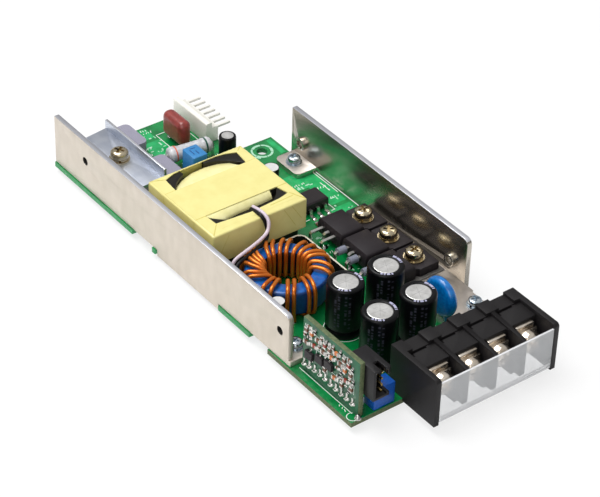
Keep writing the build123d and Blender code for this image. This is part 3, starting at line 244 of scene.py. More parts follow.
# %% Floor
FLOOR_REACH = 3.0
FLOOR_GLOW = 0.75
floor_mesh = bpy.data.meshes.new("floor")
floor_corners = [(x * FLOOR_REACH, y * FLOOR_REACH, 0) for x, y in ((-1, -1), (1, -1), (1, 1), (-1, 1))]
floor_mesh.from_pydata(floor_corners, [], [(0, 1, 2, 3)])
floor = shown("floor", floor_mesh)
paper, paper_shader = finish("floor_paper", (240, 240, 240), 0.9)
glow = add(paper, "Emission", Color=WHITE, Strength=1.0)
bright = add(paper, "MixShader", Fac=FLOOR_GLOW)
wire(paper_shader.outputs["BSDF"], bright.inputs[1])
wire(glow.outputs["Emission"], bright.inputs[2])
paths = add(paper, "LightPath")
seen = add(paper, "Math")
seen.operation = "MAXIMUM"
wire(paths.outputs["Is Camera Ray"], seen.inputs[0])
wire(paths.outputs["Is Transmission Ray"], seen.inputs[1])
lift = add(paper, "MixShader")
wire(seen.outputs["Value"], lift.inputs["Fac"])
wire(paper_shader.outputs["BSDF"], lift.inputs[1])
wire(bright.outputs["Shader"], lift.inputs[2])
wire(lift.outputs["Shader"], paper.node_tree.nodes["Material Output"].inputs["Surface"])
floor_mesh.materials.append(paper)
print("floor ready")

# %% [markdown]
# The looks of this object, one for each material that a buyer would see on the bench. A metal's row
# gives its name, its darker and lighter tone, and its lowest and highest roughness. Where they
# differ from the usual, the scale of its patches, its bump, its stretch and its share of metal
# follow. Metal is known by how its gloss wanders as much as by its colour, so each row sets both.

# %% Metals
METALS = (
    ("left_aluminium", (206, 198, 186), (214, 206, 195), 0.5, 0.6, 0.35, 0.004, (1, 1, 0.5)),
    ("right_aluminium", (182, 176, 165), (194, 188, 177), 0.22, 0.3, 0.2, 0.001, (1, 0.2, 1)),
    ("foot_aluminium", (178, 170, 162), (198, 190, 182), 0.45, 0.6, 0.3),
    # Partly raw cut metal, partly painted highlight on the upward sheared edges.
    ("cut_edge", (222, 224, 232), (240, 240, 244), 0.3, 0.4, 0.6, 0.004, (0.3, 0.05, 1)),
    ("blue_zinc", (188, 194, 207), (200, 205, 215), 0.36, 0.46, 0.3),
    ("zinc_screw", (168, 182, 192), (210, 218, 224), 0.18, 0.3),
    ("nickel", (180, 167, 140), (212, 200, 173), 0.12, 0.24, 0.2),
    ("terminal_nickel", (204, 190, 172), (240, 230, 216), 0.16, 0.3, 0.3),
    ("tinned_lead", (186, 184, 180), (222, 220, 214), 0.2, 0.36),
    ("solder", (182, 180, 176), (222, 220, 216), 0.16, 0.3),
    ("plated_pin", (176, 150, 92), (222, 198, 140), 0.2, 0.3),
    ("enamelled_copper", (196, 100, 28), (222, 130, 46), 0.2, 0.28, 0.12, 0.002, (1, 1, 1), 0.6),
    ("can_top", (216, 215, 212), (240, 239, 237), 0.34, 0.46),
    # Painted shade of the pressed score grooves on the can tops.
    ("score_shade", (198, 197, 195), (208, 207, 205), 0.4, 0.5),
)
looks = {row[0]: metal(*row) for row in METALS}
print("metals:", len(looks))

# %% [markdown]
# A plastic's row gives its name, its darker and lighter tone and its roughness. Where they differ
# from the usual, the strength of its mirror, its clear coat, the fineness of its grain and its bump
# follow. A moulded, a dipped and a shrunk plastic differ mostly in how sharply they mirror the
# lamps.

# %% Plastics and coatings
PLASTICS = (
    ("black_moulding", (20, 18, 19), (30, 28, 29), 0.5, 0.25, 0.0, 8.0, 0.03),
    ("header_black", (13, 12, 14), (22, 20, 23), 0.4, 0.3),
    ("moulded_epoxy", (26, 22, 25), (42, 36, 40), 0.5, 0.3, 0.0, 10.0, 0.03),
    ("bobbin_black", (12, 10, 6), (24, 20, 13), 0.32, 0.35),
    # The transformer cores' own colour, also used as painted shade inside the left plate's tapped holes.
    ("ferrite", (24, 23, 22), (38, 37, 35), 0.55, 0.3),
    ("grey_silicone", (132, 130, 146), (154, 152, 168), 0.6),
    ("pad_grey", (84, 82, 80), (110, 107, 103), 0.55),
    ("bead_grey", (98, 102, 116), (138, 142, 156), 0.32),
    ("yellow_tape", (221, 211, 136), (226, 217, 144), 0.34, 0.5, 0.25, 0.3, 0.03),
    # Painted shade along the tape's folds and overlaps.
    ("crease_shade", (196, 182, 92), (212, 199, 110), 0.4),
    ("pale_tape", (230, 222, 156), (238, 231, 172), 0.36, 0.5, 0.2, 0.4, 0.04),
    ("white_lead", (198, 182, 196), (220, 206, 216), 0.4),
    ("black_lead", (6, 6, 8), (14, 13, 16), 0.42, 0.25),
    ("core_blue", (0, 74, 150), (2, 94, 176), 0.32, 0.5, 0.25, 0.8, 0.06),
    # Painted shade on the choke core's side; the box capacitor's marks use the same navy as print.
    ("core_side", (2, 46, 100), (4, 62, 126), 0.4, 0.5, 0.0, 0.8, 0.06),
    # Painted shade inside the choke core's bore.
    ("bore_dark", (2, 8, 22), (4, 16, 36), 0.6, 0.2),
    ("wall_black", (16, 15, 14), (28, 26, 24), 0.5, 0.25),
    # Partly raw fibre, partly painted highlight on the choke wall's top edge.
    ("fibre_cut_and_highlight", (196, 190, 172), (226, 220, 204), 0.7),
    ("sleeve_black", (4, 4, 6), (10, 10, 13), 0.36, 0.18, 0.05, 3.0, 0.01),
    ("sleeve_print", (148, 148, 178), (182, 182, 206), 0.5),
    ("sleeve_faint", (44, 44, 54), (66, 66, 78), 0.5, 0.2),
    ("cap_white", (196, 196, 196), (218, 218, 218), 0.4),
    ("disc_blue", (0, 96, 170), (8, 118, 194), 0.24, 0.5, 0.4, 1.0, 0.03),
    ("film_brown", (118, 44, 40), (142, 56, 50), 0.34, 0.5, 0.2, 1.0, 0.04),
    ("box_blue", (40, 112, 172), (58, 134, 190), 0.32),
    ("axial_grey", (176, 176, 180), (206, 206, 208), 0.3, 0.5, 0.3, 1.0),
    ("band_orange", (206, 92, 54), (222, 108, 68), 0.35),
    ("band_green", (16, 66, 52), (28, 88, 70), 0.35),
    ("trimmer_blue", (12, 70, 156), (24, 92, 180), 0.34),
    ("nylon", (226, 224, 214), (240, 238, 230), 0.42),
    ("chip_brown", (82, 46, 30), (120, 78, 54), 0.4),
    ("chip_orange", (176, 92, 40), (206, 122, 66), 0.4),
    ("chip_red", (120, 34, 24), (156, 56, 40), 0.4),
    ("board_green", (0, 108, 52), (4, 134, 66), 0.26, 0.5, 0.3, 0.25, 0.03),
    ("mask_over_copper", (6, 150, 80), (26, 172, 98), 0.26, 0.5, 0.3, 0.4, 0.02),
    ("control_green", (2, 68, 42), (16, 94, 60), 0.34, 0.5, 0.1, 0.3, 0.02),
    ("board_edge", (72, 88, 56), (98, 108, 74), 0.7, 0.5, 0.0, 1.5),
    ("board_side", (34, 128, 74), (58, 150, 92), 0.5, 0.5, 0.0, 1.0),
    ("silk_white", (218, 226, 220), (236, 240, 236), 0.5),
    ("silk_faint", (140, 200, 164), (182, 222, 198), 0.5),
    ("pale_tin", (214, 212, 204), (230, 228, 221), 0.36),
)
looks |= {row[0]: plastic(*row) for row in PLASTICS}
looks["clear_cover"], cover_shader = finish("clear_cover", (236, 238, 240), 0.06)
set_inputs(cover_shader, {"Alpha": 0.33, "IOR": 1.49})
# Painted highlight: bright lines on the cover's ribs and edge.
looks["cover_edge_highlight"], highlight_shader = finish("cover_edge_highlight", (244, 244, 246), 0.2)
set_inputs(highlight_shader, {"Alpha": 0.75})
print("looks:", len(looks))

# %% [markdown]
# Each solid that already has the right shape keeps its mesh and gets its look. Modelling it again
# would only bring small errors in size, so a table from look to solids is enough.

# %% Dress the solids
SOLIDS_BY_LOOK = {
    "board_green": "main_board",
    "solder": "solder_joints",
    "left_aluminium": "left_heatsink_plate",
    "right_aluminium": "right_heatsink_bracket",
    "zinc_screw": "board_screws board_screw_washers board_nuts",
    "blue_zinc": "clamp_channel",
    "nickel": "clamp_screw clamp_screw_washers transistor_screws transistor_washers",
    "grey_silicone": "insulating_caps",
    "moulded_epoxy":
        "primary_transistors power_transistor_1 power_transistor_2 power_transistor_3 chip_body",
    "pad_grey": "transistor_pad",
    "tinned_lead": "transistor_leads transformer_pins component_leads chip_legs control_board_pins",
    "bead_grey": "lead_sleeves",
    "ferrite": "transformer_core_upper transformer_core_lower",
    "bobbin_black": "transformer_bobbin",
    "pale_tape": "transformer_winding",
    "yellow_tape": "transformer_tape",
    "white_lead": "transformer_lead_white",
    "black_lead": "transformer_lead_black",
    "core_blue": "choke_core",
    "enamelled_copper": "choke_winding",
    "wall_black": "choke_wall",
    "sleeve_black":
        "small_capacitors output_capacitor_1 output_capacitor_2 output_capacitor_3 output_capacitor_4",
    "disc_blue": "disc_capacitor",
    "film_brown": "film_capacitor",
    "box_blue": "box_capacitor",
    "axial_grey": "axial_part",
    "black_moulding": "terminal_housing",
    "terminal_nickel": "terminal_plates terminal_washers terminal_screws",
    "clear_cover": "terminal_cover",
    "control_green": "control_board",
    "chip_brown": "control_board_parts surface_parts",
    "header_black": "signal_header",
    "plated_pin": "signal_header_pins trimmer_rotor",
    "trimmer_blue": "trimmer_body",
    "nylon": "connector_housing",
    "pale_tin": "connector_pins",
}
look_of = {solid: look for look, solids in SOLIDS_BY_LOOK.items() for solid in solids.split()}
for solid, look in look_of.items():
    worn = nodes[solid].data.materials
    worn.clear()
    worn.append(looks[look])
print("dressed:", len(look_of), "of", len(nodes))

# %% [markdown]
# Many pieces start from the solid itself. Its mesh arrives as loose triangles, so a copy is merged
# first. Every real edge is a little round and catches a line of light, and a narrow bevel on the
# outward edges gives that without changing the size.

# %% Work from a solid
SMOOTH = 38
SHARP = math.radians(50)
FLAT = math.radians(0.5)
SAME_POINT = 0.001 * MM


def settle(piece, *solids):
    """A finished piece rides on the supply's one body and stands for the solids it replaces."""
    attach(piece, "root")
    if solids:
        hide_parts(*solids)
    return piece


def finished(name, form, worn, smooth=SMOOTH):
    """Turns a working mesh into an object with the named looks, smooth up to that angle."""
    mesh = bpy.data.meshes.new(name)
    form.to_mesh(mesh)
    form.free()
    mesh.polygons.foreach_set("use_smooth", [True] * len(mesh.polygons))
    mesh.set_sharp_from_angle(angle=math.radians(smooth))
    for look in worn.split():
        mesh.materials.append(looks[look])
    return shown(name, mesh)


def built(name, form, worn, *solids, smooth=SMOOTH):
    """A working mesh of its own, with its faces turned outwards, as a settled piece."""
    bmesh.ops.recalc_face_normals(form, faces=form.faces)
    return settle(finished(name, form, worn, smooth), *solids)


def merged(node):
    """A working mesh of a solid, with its triangles joined into whole faces."""
    form = bmesh.new()
    form.from_mesh(nodes[node].data)
    bmesh.ops.remove_doubles(form, verts=form.verts, dist=2 * SAME_POINT)
    bmesh.ops.dissolve_limit(form, angle_limit=FLAT, verts=form.verts, edges=form.edges)
    return form


def bevelled(form, edges, width, segments, clamp=True):
    """Rounds the edges of a working mesh by that many millimetres."""
    bmesh.ops.bevel(
        form,
        geom=edges,
        offset=width * MM,
        segments=segments,
        profile=0.5,
        affect="EDGES",
        clamp_overlap=clamp,
    )


def outward(edge):
    """A sharp edge that points out of the solid."""
    return edge.is_manifold and edge.is_convex and edge.calc_face_angle(0) > SHARP


def softened(node, width, more_looks="", segments=2):
    """A settled copy of a solid in its own look, whose outward edges are rounded."""
    form = merged(node)
    bevelled(form, [edge for edge in form.edges if outward(edge)], width, segments)
    bmesh.ops.remove_doubles(form, verts=form.verts, dist=SAME_POINT)
    return settle(finished(node + "_soft", form, f"{look_of[node]} {more_looks}"), node)


def paint(piece, index, wanted):
    """Gives the faces that meet a test the piece's look of that index."""
    for face in piece.data.polygons:
        if wanted(face):
            face.material_index = index


# %% [markdown]
# What the solids leave out is built from a few simple strokes in millimetres: a skin over sections,
# a turned profile, a flat outline with a thickness, and a bar. A placing says where such a stroke
# stands and which way its own z points, so the same strokes serve the board, the upright board and
# the screws.

# %% Strokes
UP = (0, 0, 1)
ARC_STEP = 8
LOCAL = Matrix.Scale(MM, 4)


def facing(towards, turn=0.0):
    """The turning whose z points the given way, with its x level, turned about that z."""
    out = Vector(towards).normalized()
    level = Vector(UP).cross(out)
    level = level.normalized() if level.length > 1e-6 else Vector((1, 0, 0))
    return Matrix((level, out.cross(level), out)).transposed() @ Matrix.Rotation(math.radians(turn), 3, "Z")


def at(x, y, z=0.0, towards=UP, turn=0.0):
    """A placing on the board: its own units are millimetres and its z points the given way."""
    return Matrix.Translation(spot(x, y, z)) @ facing(towards, turn).to_4x4() @ LOCAL


BOARD = at(0, 0)


def round_about(radius, degrees, z):
    """A point from its distance to the z axis, its angle and its height."""
    angle = math.radians(degrees)
    return Vector((radius * math.cos(angle), radius * math.sin(angle), z))


def skin(form, sections, index=0):
    """A closed skin over sections of equally many points, with a flat face over both ends."""
    rings = [[form.verts.new(point) for point in section] for section in sections]
    faces = [form.faces.new(list(reversed(rings[0]))), form.faces.new(rings[-1])]
    for near, far in zip(rings, rings[1:]):
        for here in range(len(near)):
            there = (here + 1) % len(near)
            faces.append(form.faces.new((near[here], near[there], far[there], far[here])))
    for face in faces:
        face.material_index = index


def prism(form, outline, low, high, place=BOARD, index=0):
    """A flat outline, counter-clockwise, from one height to another."""
    skin(form, [[place @ Vector((x, y, z)) for x, y in outline] for z in (low, high)], index)


def bar(form, x_span, y_span, z_span, place=BOARD, index=0):
    """A straight block between two values along each axis."""
    left, right = x_span
    front, back = y_span
    outline = ((left, front), (right, front), (right, back), (left, back))
    prism(form, outline, *z_span, place, index)


def stripe(form, start, end, width, low, high, place=BOARD):
    """A straight bar between two points of the plan."""
    start, end = Vector(start), Vector(end)
    along = end - start
    across = Vector((-along.y, along.x)).normalized() * width / 2
    prism(form, [start - across, end - across, end + across, start + across], low, high, place)


def lathe(form, profile, place=BOARD, steps=48, index=0):
    """A profile of (radius, height) pairs turned about the placing's z; a radius of 0 closes it."""
    rings = []
    for radius, height in profile:
        count = steps if radius else 1
        ring = [place @ round_about(radius, 360 * step / steps, height) for step in range(count)]
        rings.append([form.verts.new(point) for point in ring])
    for lower, upper in zip(rings, rings[1:]):
        for here in range(steps):
            there = (here + 1) % steps
            if len(lower) == 1:
                corners = (lower[0], upper[there], upper[here])
            elif len(upper) == 1:
                corners = (lower[here], lower[there], upper[0])
            else:
                corners = (lower[here], lower[there], upper[there], upper[here])
            form.faces.new(corners).material_index = index


def arc_plate(form, inner, outer, start, end, low, high, place=BOARD):
    """A part of a flat ring between two angles, in degrees."""
    count = max(2, round(abs(end - start) / ARC_STEP))
    angles = [start + (end - start) * step / count for step in range(count + 1)]
    outline = [round_about(outer, angle, 0).xy for angle in angles]
    outline += [round_about(inner, angle, 0).xy for angle in reversed(angles)]
    prism(form, outline, low, high, place)


def flat_ring(form, inner, outer, low, high, place=BOARD, steps=48):
    """A whole flat ring."""
    lathe(form, ((inner, low), (outer, low), (outer, high), (inner, high), (inner, low)), place, steps)


print("strokes ready")

# %% [markdown]
# Two node trees make what repeats. The first sweeps a round wire along any curve. The second sets
# copies of one small part on marked points, each with its own turn. Loops over meshes could do
# both, but a tree is built once and takes its sizes by name. Its result is kept as a plain mesh, so
# nothing depends on the tree afterwards.

# %% Geometry node trees
def new_tree(name, inputs):
    """An empty tree with its named inputs, a geometry input first and the finish last."""
    tree = bpy.data.node_groups.new(name, "GeometryNodeTree")
    for label, kind in (("Geometry", "Geometry"), *inputs, ("Finish", "Material")):
        tree.interface.new_socket(label, in_out="INPUT", socket_type="NodeSocket" + kind)
    tree.interface.new_socket("Geometry", in_out="OUTPUT", socket_type="NodeSocketGeometry")
    return tree, tree.nodes.new("NodeGroupInput").outputs


def end_tree(tree, source, given):
    """Every tree ends by making its copies real, smooth and finished."""
    for kind in ("RealizeInstances", "SetShadeSmooth", "SetMaterial"):
        step = tree.nodes.new("GeometryNode" + kind)
        wire(source, step.inputs["Geometry"])
        source = step.outputs["Geometry"]
    wire(given["Finish"], step.inputs["Material"])
    wire(source, tree.nodes.new("NodeGroupOutput").inputs["Geometry"])
    return tree


def make_sweep_tree():
    """A tree that sweeps a ring of the given radius along its curves, with closed ends."""
    tree, given = new_tree("sweep_wire", (("Radius", "Float"), ("Sides", "Int")))
    ring = tree.nodes.new("GeometryNodeCurvePrimitiveCircle")
    sweep = set_inputs(tree.nodes.new("GeometryNodeCurveToMesh"), {"Fill Caps": True})
    wire(given["Radius"], ring.inputs["Radius"])
    wire(given["Sides"], ring.inputs["Resolution"])
    wire(given["Geometry"], sweep.inputs["Curve"])
    wire(ring.outputs["Curve"], sweep.inputs["Profile Curve"])
    return end_tree(tree, sweep.outputs["Mesh"], given)


def make_copies_tree():
    """A tree that sets a copy of the part on every point, turned as that point says."""
    tree, given = new_tree("set_copies", (("Part", "Object"),))
    part = tree.nodes.new("GeometryNodeObjectInfo")
    turn = tree.nodes.new("GeometryNodeInputNamedAttribute")
    turn.data_type = "FLOAT_VECTOR"
    set_inputs(turn, {"Name": "turn"})
    rotation = tree.nodes.new("FunctionNodeEulerToRotation")
    copier = tree.nodes.new("GeometryNodeInstanceOnPoints")
    wire(given["Part"], part.inputs["Object"])
    wire(given["Geometry"], copier.inputs["Points"])
    wire(part.outputs["Geometry"], copier.inputs["Instance"])
    wire(turn.outputs["Attribute"], rotation.inputs["Euler"])
    wire(rotation.outputs["Rotation"], copier.inputs["Rotation"])
    return end_tree(tree, copier.outputs["Instances"], given)


SWEEP = make_sweep_tree()
COPIES = make_copies_tree()


def evaluated_mesh(thing):
    """The plain mesh that an object's modifiers make."""
    bpy.context.view_layer.update()
    return bpy.data.meshes.new_from_object(thing.evaluated_get(bpy.context.evaluated_depsgraph_get()))


def grown(name, carrier, tree, look, **given):
    """Runs a tree on a carrier object and keeps only the plain mesh that it makes."""
    modifier = carrier.modifiers.new(name, "NODES")
    modifier.node_group = tree
    given["Finish"] = looks[look]
    for item in tree.interface.items_tree:
        if item.in_out == "INPUT" and item.name in given:
            modifier[item.identifier] = given[item.name]
    mesh = evaluated_mesh(carrier)
    bpy.data.objects.remove(carrier)
    mesh.name = name
    mesh.set_sharp_from_angle(angle=math.radians(SMOOTH))
    return shown(name, mesh)


def copies(name, part, places, look, *solids):
    """Sets a part, built about its own origin in metres, at each (x, y, z, towards, turn)."""
    points = bpy.data.meshes.new(name + "_points")
    points.from_pydata([spot(*place[:3]) for place in places], [], [])
    attribute = points.attributes.new("turn", "FLOAT_VECTOR", "POINT")
    for item, (*_, towards, turn) in zip(attribute.data, places):
        item.vector = facing(towards, turn).to_euler()
    piece = grown(name, shown(name + "_points", points), COPIES, look, Part=part)
    bpy.data.objects.remove(part)
    return settle(piece, *solids)


def template(name, build, look):
    """A small part about its own origin, for copying."""
    form = bmesh.new()
    build(form)
    bmesh.ops.recalc_face_normals(form, faces=form.faces)
    return finished(name, form, look)


def smooth_curve(name, routes):
    """A curve object with one smooth spline for each route of board points."""
    data = bpy.data.curves.new(name, "CURVE")
    data.dimensions = "3D"
    data.resolution_u = 6
    for route in routes:
        spline = data.splines.new("NURBS")
        spline.points.add(len(route) - 1)
        for point, place in zip(spline.points, route):
            point.co = (*spot(*place), 1.0)
        spline.order_u = 3
        spline.use_endpoint_u = True
    return shown(name, data)


print("trees:", [tree.name for tree in bpy.data.node_groups])

# %% [markdown]
# The choke's core is a pressed ring with a thick blue epoxy coat, so its edges are well rounded.
# Its side is painted darker than its top and its bore nearly black, both as painted shade. A
# ready-made torus has a round section, so the ring is turned from its own section instead.

# %% Choke core
CHOKE = (17.4, 51.0)
CORE_IN, CORE_OUT, CORE_LOW, CORE_HIGH = 6.5, 11.45, 1.4, 8.9
CORE_ROUND = 1.1
PAINT_DEPTH = 0.35


def rounded_section(inner, outer, low, high, radius, steps=5):
    """A closed ring section with rounded corners."""
    corners = ((outer, low, -90), (outer, high, 0), (inner, high, 90), (inner, low, 180))
    section = []
    for x, z, first in corners:
        middle = Vector((x - radius if x == outer else x + radius, z - radius if z == high else z + radius))
        angles = [first + 90 * step / steps for step in range(steps + 1)]
        section += [tuple(middle + round_about(radius, angle, 0).xy) for angle in angles]
    return section + section[:1]


def from_choke(face):
    """How far a face is from the choke's axis, in millimetres."""
    return (face.center - spot(*CHOKE)).xy.length / MM


form = bmesh.new()
lathe(form, rounded_section(CORE_IN, CORE_OUT, CORE_LOW, CORE_HIGH, CORE_ROUND), at(*CHOKE), 96)
bmesh.ops.remove_doubles(form, verts=form.verts, dist=SAME_POINT)
core = built("choke_core_ring", form, "core_blue core_side bore_dark", "choke_core", smooth=60)
# Painted shade: the outer side gets the darker blue and the bore gets near black.
paint(core, 1, lambda face: from_choke(face) > CORE_OUT - PAINT_DEPTH)
paint(core, 2, lambda face: from_choke(face) < CORE_IN + PAINT_DEPTH)
print("core ready")

# %% [markdown]
# Two strands of thick copper wire are wound side by side round the core. Each turn rises outside,
# crosses the top at a lean and drops through the hole, and then crosses under the core to where the
# next turn starts. Each strand is one smooth curve through the stations of its turns, and the sweep
# tree gives it thickness. A turn is written as its outer and inner angle, and a station as its
# angle's name, its distance from the axis and its height, each with what a loose turn adds to it.
# Separate rings would be simpler, but real turns lean and vary, and one continuous path shows it.

# %% Choke winding
WIRE = 1.15
WIRE_SIDES = 12
LOOSEST = 0.35
TURNS = (
    ((-118, -110), (-126, -125)), ((-89, -76), (-98, -91)), ((-37, -21), (-51, -43)),
    ((-4, 10), (-14, -2)), ((28, 38), (15, 22)), ((58, 72), (48, 56)), ((82, 104), (72, 89)),
    ((113, 142), (103, 130)), ((138, 166), (124, 154)), ((171, 190), (160, 178)), ((212, 214), (200, 202)),
)
STATIONS = (
    ("outside", 12.08, 0.6, 2.4, 0), ("outside", 12.08, 1.0, 7.6, 0), ("outside", 11.48, 0.4, 9.9, 0),
    ("middle", 8.99, 0, 10.35, -0.4),
    ("inside", 6.3, 0, 9.9, 0), ("inside", 5.9, 0, 7.8, 0), ("inside", 5.9, 0, 2.6, 0),
    ("inside", 6.4, 0, 0.8, 0), ("next", 11.28, 0, 0.7, 0),
)


def strand(number, start, end):
    """One strand's route, from the board round every turn and back to the board."""
    chance = random.Random(number)
    route = [(*start, -0.2), (*start, 1.2)]
    for turn, following in zip(TURNS, (*TURNS[1:], TURNS[-1])):
        outside, inside = turn[number]
        loose = chance.uniform(0.0, LOOSEST)
        angles = {"outside": outside, "middle": (outside + inside) / 2, "inside": inside}
        angles["next"] = following[number][0]
        for where, radius, wider, height, higher in STATIONS:
            point = round_about(radius + wider * loose, angles[where], height + higher * loose)
            route.append(tuple(point + Vector((*CHOKE, 0))))
    return [*route[:-1], (*end, 0.9), (*end, -0.2)]


routes = (strand(0, (12.1, 40.4), (13.4, 42.6)), strand(1, (10.3, 41.4), (11.6, 43.8)))
strands = smooth_curve("strands", routes)
winding = grown("choke_wire", strands, SWEEP, "enamelled_copper", Radius=WIRE / 2 * MM, Sides=WIRE_SIDES)
settle(winding, "choke_winding")
print("winding faces:", len(winding.data.polygons))

# %% [markdown]
# The thin fibre wall is black on its faces and pale along its cut top edge, partly raw fibre and
# partly painted highlight. That edge only needs a second look, so the solid gets nothing else but a
# narrow round edge.

# %% Choke wall
wall = softened("choke_wall", 0.06, "fibre_cut_and_highlight", segments=1)
# Painted highlight, partly raw fibre: the wall's upward faces get the pale look.
paint(wall, 1, lambda face: face.normal.z > 0.6)
print("wall ready")

# %% [markdown]
# Yellow polyester tape wraps the transformer. One strip runs over the middle, and the wrap round
# the sides is folded in over the top with mitred corners, so every overlap shows as a thin step and
# a crease painted darker as its shade. Simulated cloth could fold like that, but a few thin plates
# and strips at measured places are enough, and they stay crisp.

# %% Transformer tape
TAPE_LEFT, TAPE_RIGHT, TAPE_FRONT, TAPE_BACK, TAPE_TOP = 4.3, 35.4, 66.2, 97.2, 15.0
STRIP_FRONT, STRIP_BACK = 75.3, 89.4
STRIP_STEP = 0.1
TAPE_ROUND = 0.55
FOLD_LEFT, FOLD_RIGHT = TAPE_LEFT + 0.5, TAPE_RIGHT - 0.5
CREASE_FRONT, CREASE_BACK = STRIP_FRONT - 0.1, STRIP_BACK + 0.1
tape_low, tape_high = spot(TAPE_LEFT, TAPE_FRONT), spot(TAPE_RIGHT, TAPE_BACK, TAPE_TOP)
TAPE_WALLS = ((0, tape_low.x), (0, tape_high.x), (1, tape_low.y), (1, tape_high.y), (2, tape_high.z))


def outer_edge(edge):
    """An edge of the wrapped box's top or of one of its upright corners."""
    near = 10 * SAME_POINT
    touched = [all(abs(end.co[axis] - wall) < near for end in edge.verts) for axis, wall in TAPE_WALLS]
    return sum(touched) == 2


form = merged("transformer_tape")
tape_edges = [edge for edge in form.edges if outer_edge(edge)]
bevelled(form, tape_edges, TAPE_ROUND, 4, clamp=False)
settle(finished("transformer_tape_soft", form, "yellow_tape"), "transformer_tape")
print("rounded tape edges:", len(tape_edges))

FOLDS = (
    ((FOLD_LEFT + 0.1, 66.9), (8.45, 70.75), (8.15, STRIP_FRONT), (FOLD_LEFT, STRIP_FRONT)),
    ((FOLD_RIGHT, STRIP_FRONT), (31.75, STRIP_FRONT), (32.6, 71.5), (FOLD_RIGHT - 0.1, 66.9)),
    ((FOLD_LEFT, STRIP_BACK), (8.15, STRIP_BACK), (8.65, 95.0), (FOLD_LEFT + 0.1, 96.6)),
    ((FOLD_RIGHT - 0.1, 96.6), (32.45, 94.8), (31.75, STRIP_BACK), (FOLD_RIGHT, STRIP_BACK)),
)
FRONT_FLAP = (
    (8.0, 68.2), (33.2, 68.2), (33.0, 71.3), (28.8, 70.5),
    (24.0, 70.2), (19.2, 69.9), (13.8, 70.4), (8.4, 70.9),
)
form = bmesh.new()
bar(form, (TAPE_LEFT + 0.45, TAPE_RIGHT - 0.45), (STRIP_FRONT, STRIP_BACK), (TAPE_TOP, TAPE_TOP + STRIP_STEP))
for outline in FOLDS:
    prism(form, outline, TAPE_TOP, TAPE_TOP + STRIP_STEP / 2)
prism(form, FRONT_FLAP, TAPE_TOP - 0.2, TAPE_TOP + 0.03)
built("tape_overlaps", form, "yellow_tape")

# Painted shade: the crease lines take a darker yellow than the tape.
TOP_CREASES = (
    ((FOLD_LEFT, CREASE_FRONT), (8.2, CREASE_FRONT)), ((31.7, CREASE_FRONT), (FOLD_RIGHT, CREASE_FRONT)),
    ((FOLD_LEFT, CREASE_BACK), (8.2, CREASE_BACK)), ((31.7, CREASE_BACK), (FOLD_RIGHT, CREASE_BACK)),
    ((FOLD_LEFT, 66.75), (8.45, 70.7)), ((FOLD_RIGHT, 66.75), (32.9, 71.3)),
    ((FOLD_LEFT, 96.7), (8.7, 95.3)), ((FOLD_RIGHT, 96.7), (33.0, 95.2)), ((25.2, 69.3), (33.0, 69.6)),
)
SIDE_CREASES = [((-y, 6.5), (-y, TAPE_TOP - 0.4)) for y in (CREASE_FRONT, CREASE_BACK)]
FRONT_CREASES = (((27.6, 14.3), (31.6, 7.6)), ((30.2, 14.5), (33.6, 9.2)), ((5.8, 6.6), (9.4, 13.8)))
left_side, front_side = at(TAPE_LEFT, 0, 0, (-1, 0, 0)), at(0, TAPE_FRONT, 0, (0, -1, 0))
form = bmesh.new()
for creases, width, low, high, place in (
    (TOP_CREASES, 0.24, TAPE_TOP - 0.02, TAPE_TOP + STRIP_STEP / 2 + 0.02, BOARD),
    (SIDE_CREASES, 0.16, -0.02, 0.03, left_side),
    (FRONT_CREASES, 0.12, -0.02, 0.015, front_side),
):
    for start, end in creases:
        stripe(form, start, end, width, low, high, place)
built("tape_creases", form, "crease_shade")
print("creases:", len(TOP_CREASES) + len(SIDE_CREASES) + len(FRONT_CREASES))

# %% [markdown]
# In both windows the wound coil bulges out from under the middle strip. Each bulge is a row of
# sections across the window, from the strip's edge down to the coil's outline, joined by a skin.
# The coil has tape of its own round it, so no single wire shows and a smooth skin is enough.

# %% Coil in the windows
COIL_FRONT = (
    (7.9, 70.7), (9.6, 71.5), (11.6, 72.4), (14.2, 73.1),
    (17.7, 73.5), (21.3, 73.5), (24.8, 73.5), (29.2, 73.8),
)
COIL_BACK = (
    (8.7, 91.0), (10.1, 92.6), (13.4, 94.7), (17.7, 96.1),
    (22.2, 96.4), (25.6, 96.0), (28.4, 94.9), (29.5, 92.4),
)
COIL_PROFILE = (
    (0.0, 9.0), (1.0, 9.0), (1.0, 12.6), (0.94, 13.25),
    (0.8, 13.7), (0.5, 14.25), (0.2, 14.7), (0.0, 14.85),
)
UNDER_STRIP = 0.05
FLANGE = (6.0, 12.8)


def coil_bulge(form, outline, strip_edge):
    """A skin over sections that run from the strip's edge out to the coil's outline."""
    sections = []
    for x, y in outline:
        reach = y - strip_edge
        sections.append([spot(x, strip_edge + reach * share, z) for share, z in COIL_PROFILE])
    skin(form, sections)


form = bmesh.new()
coil_bulge(form, COIL_FRONT, STRIP_FRONT + UNDER_STRIP)
coil_bulge(form, COIL_BACK, STRIP_BACK - UNDER_STRIP)
built("coil_in_windows", form, "pale_tape", "transformer_winding", smooth=50)
form = bmesh.new()
bar(form, (8.6, 31.9), (69.3, CREASE_FRONT), FLANGE)
bar(form, (8.8, 31.7), (CREASE_BACK, 95.7), FLANGE)
built("bobbin_flanges", form, "bobbin_black")
print("coil ready")

# %% [markdown]
# The two leads of the transformer's top winding are insulated wires. Each leaves through the front
# window, arches over the tape's edge and dips between the transformer and the choke to the board. A
# curve with a round bevel keeps a wire's thickness the same along every bend.

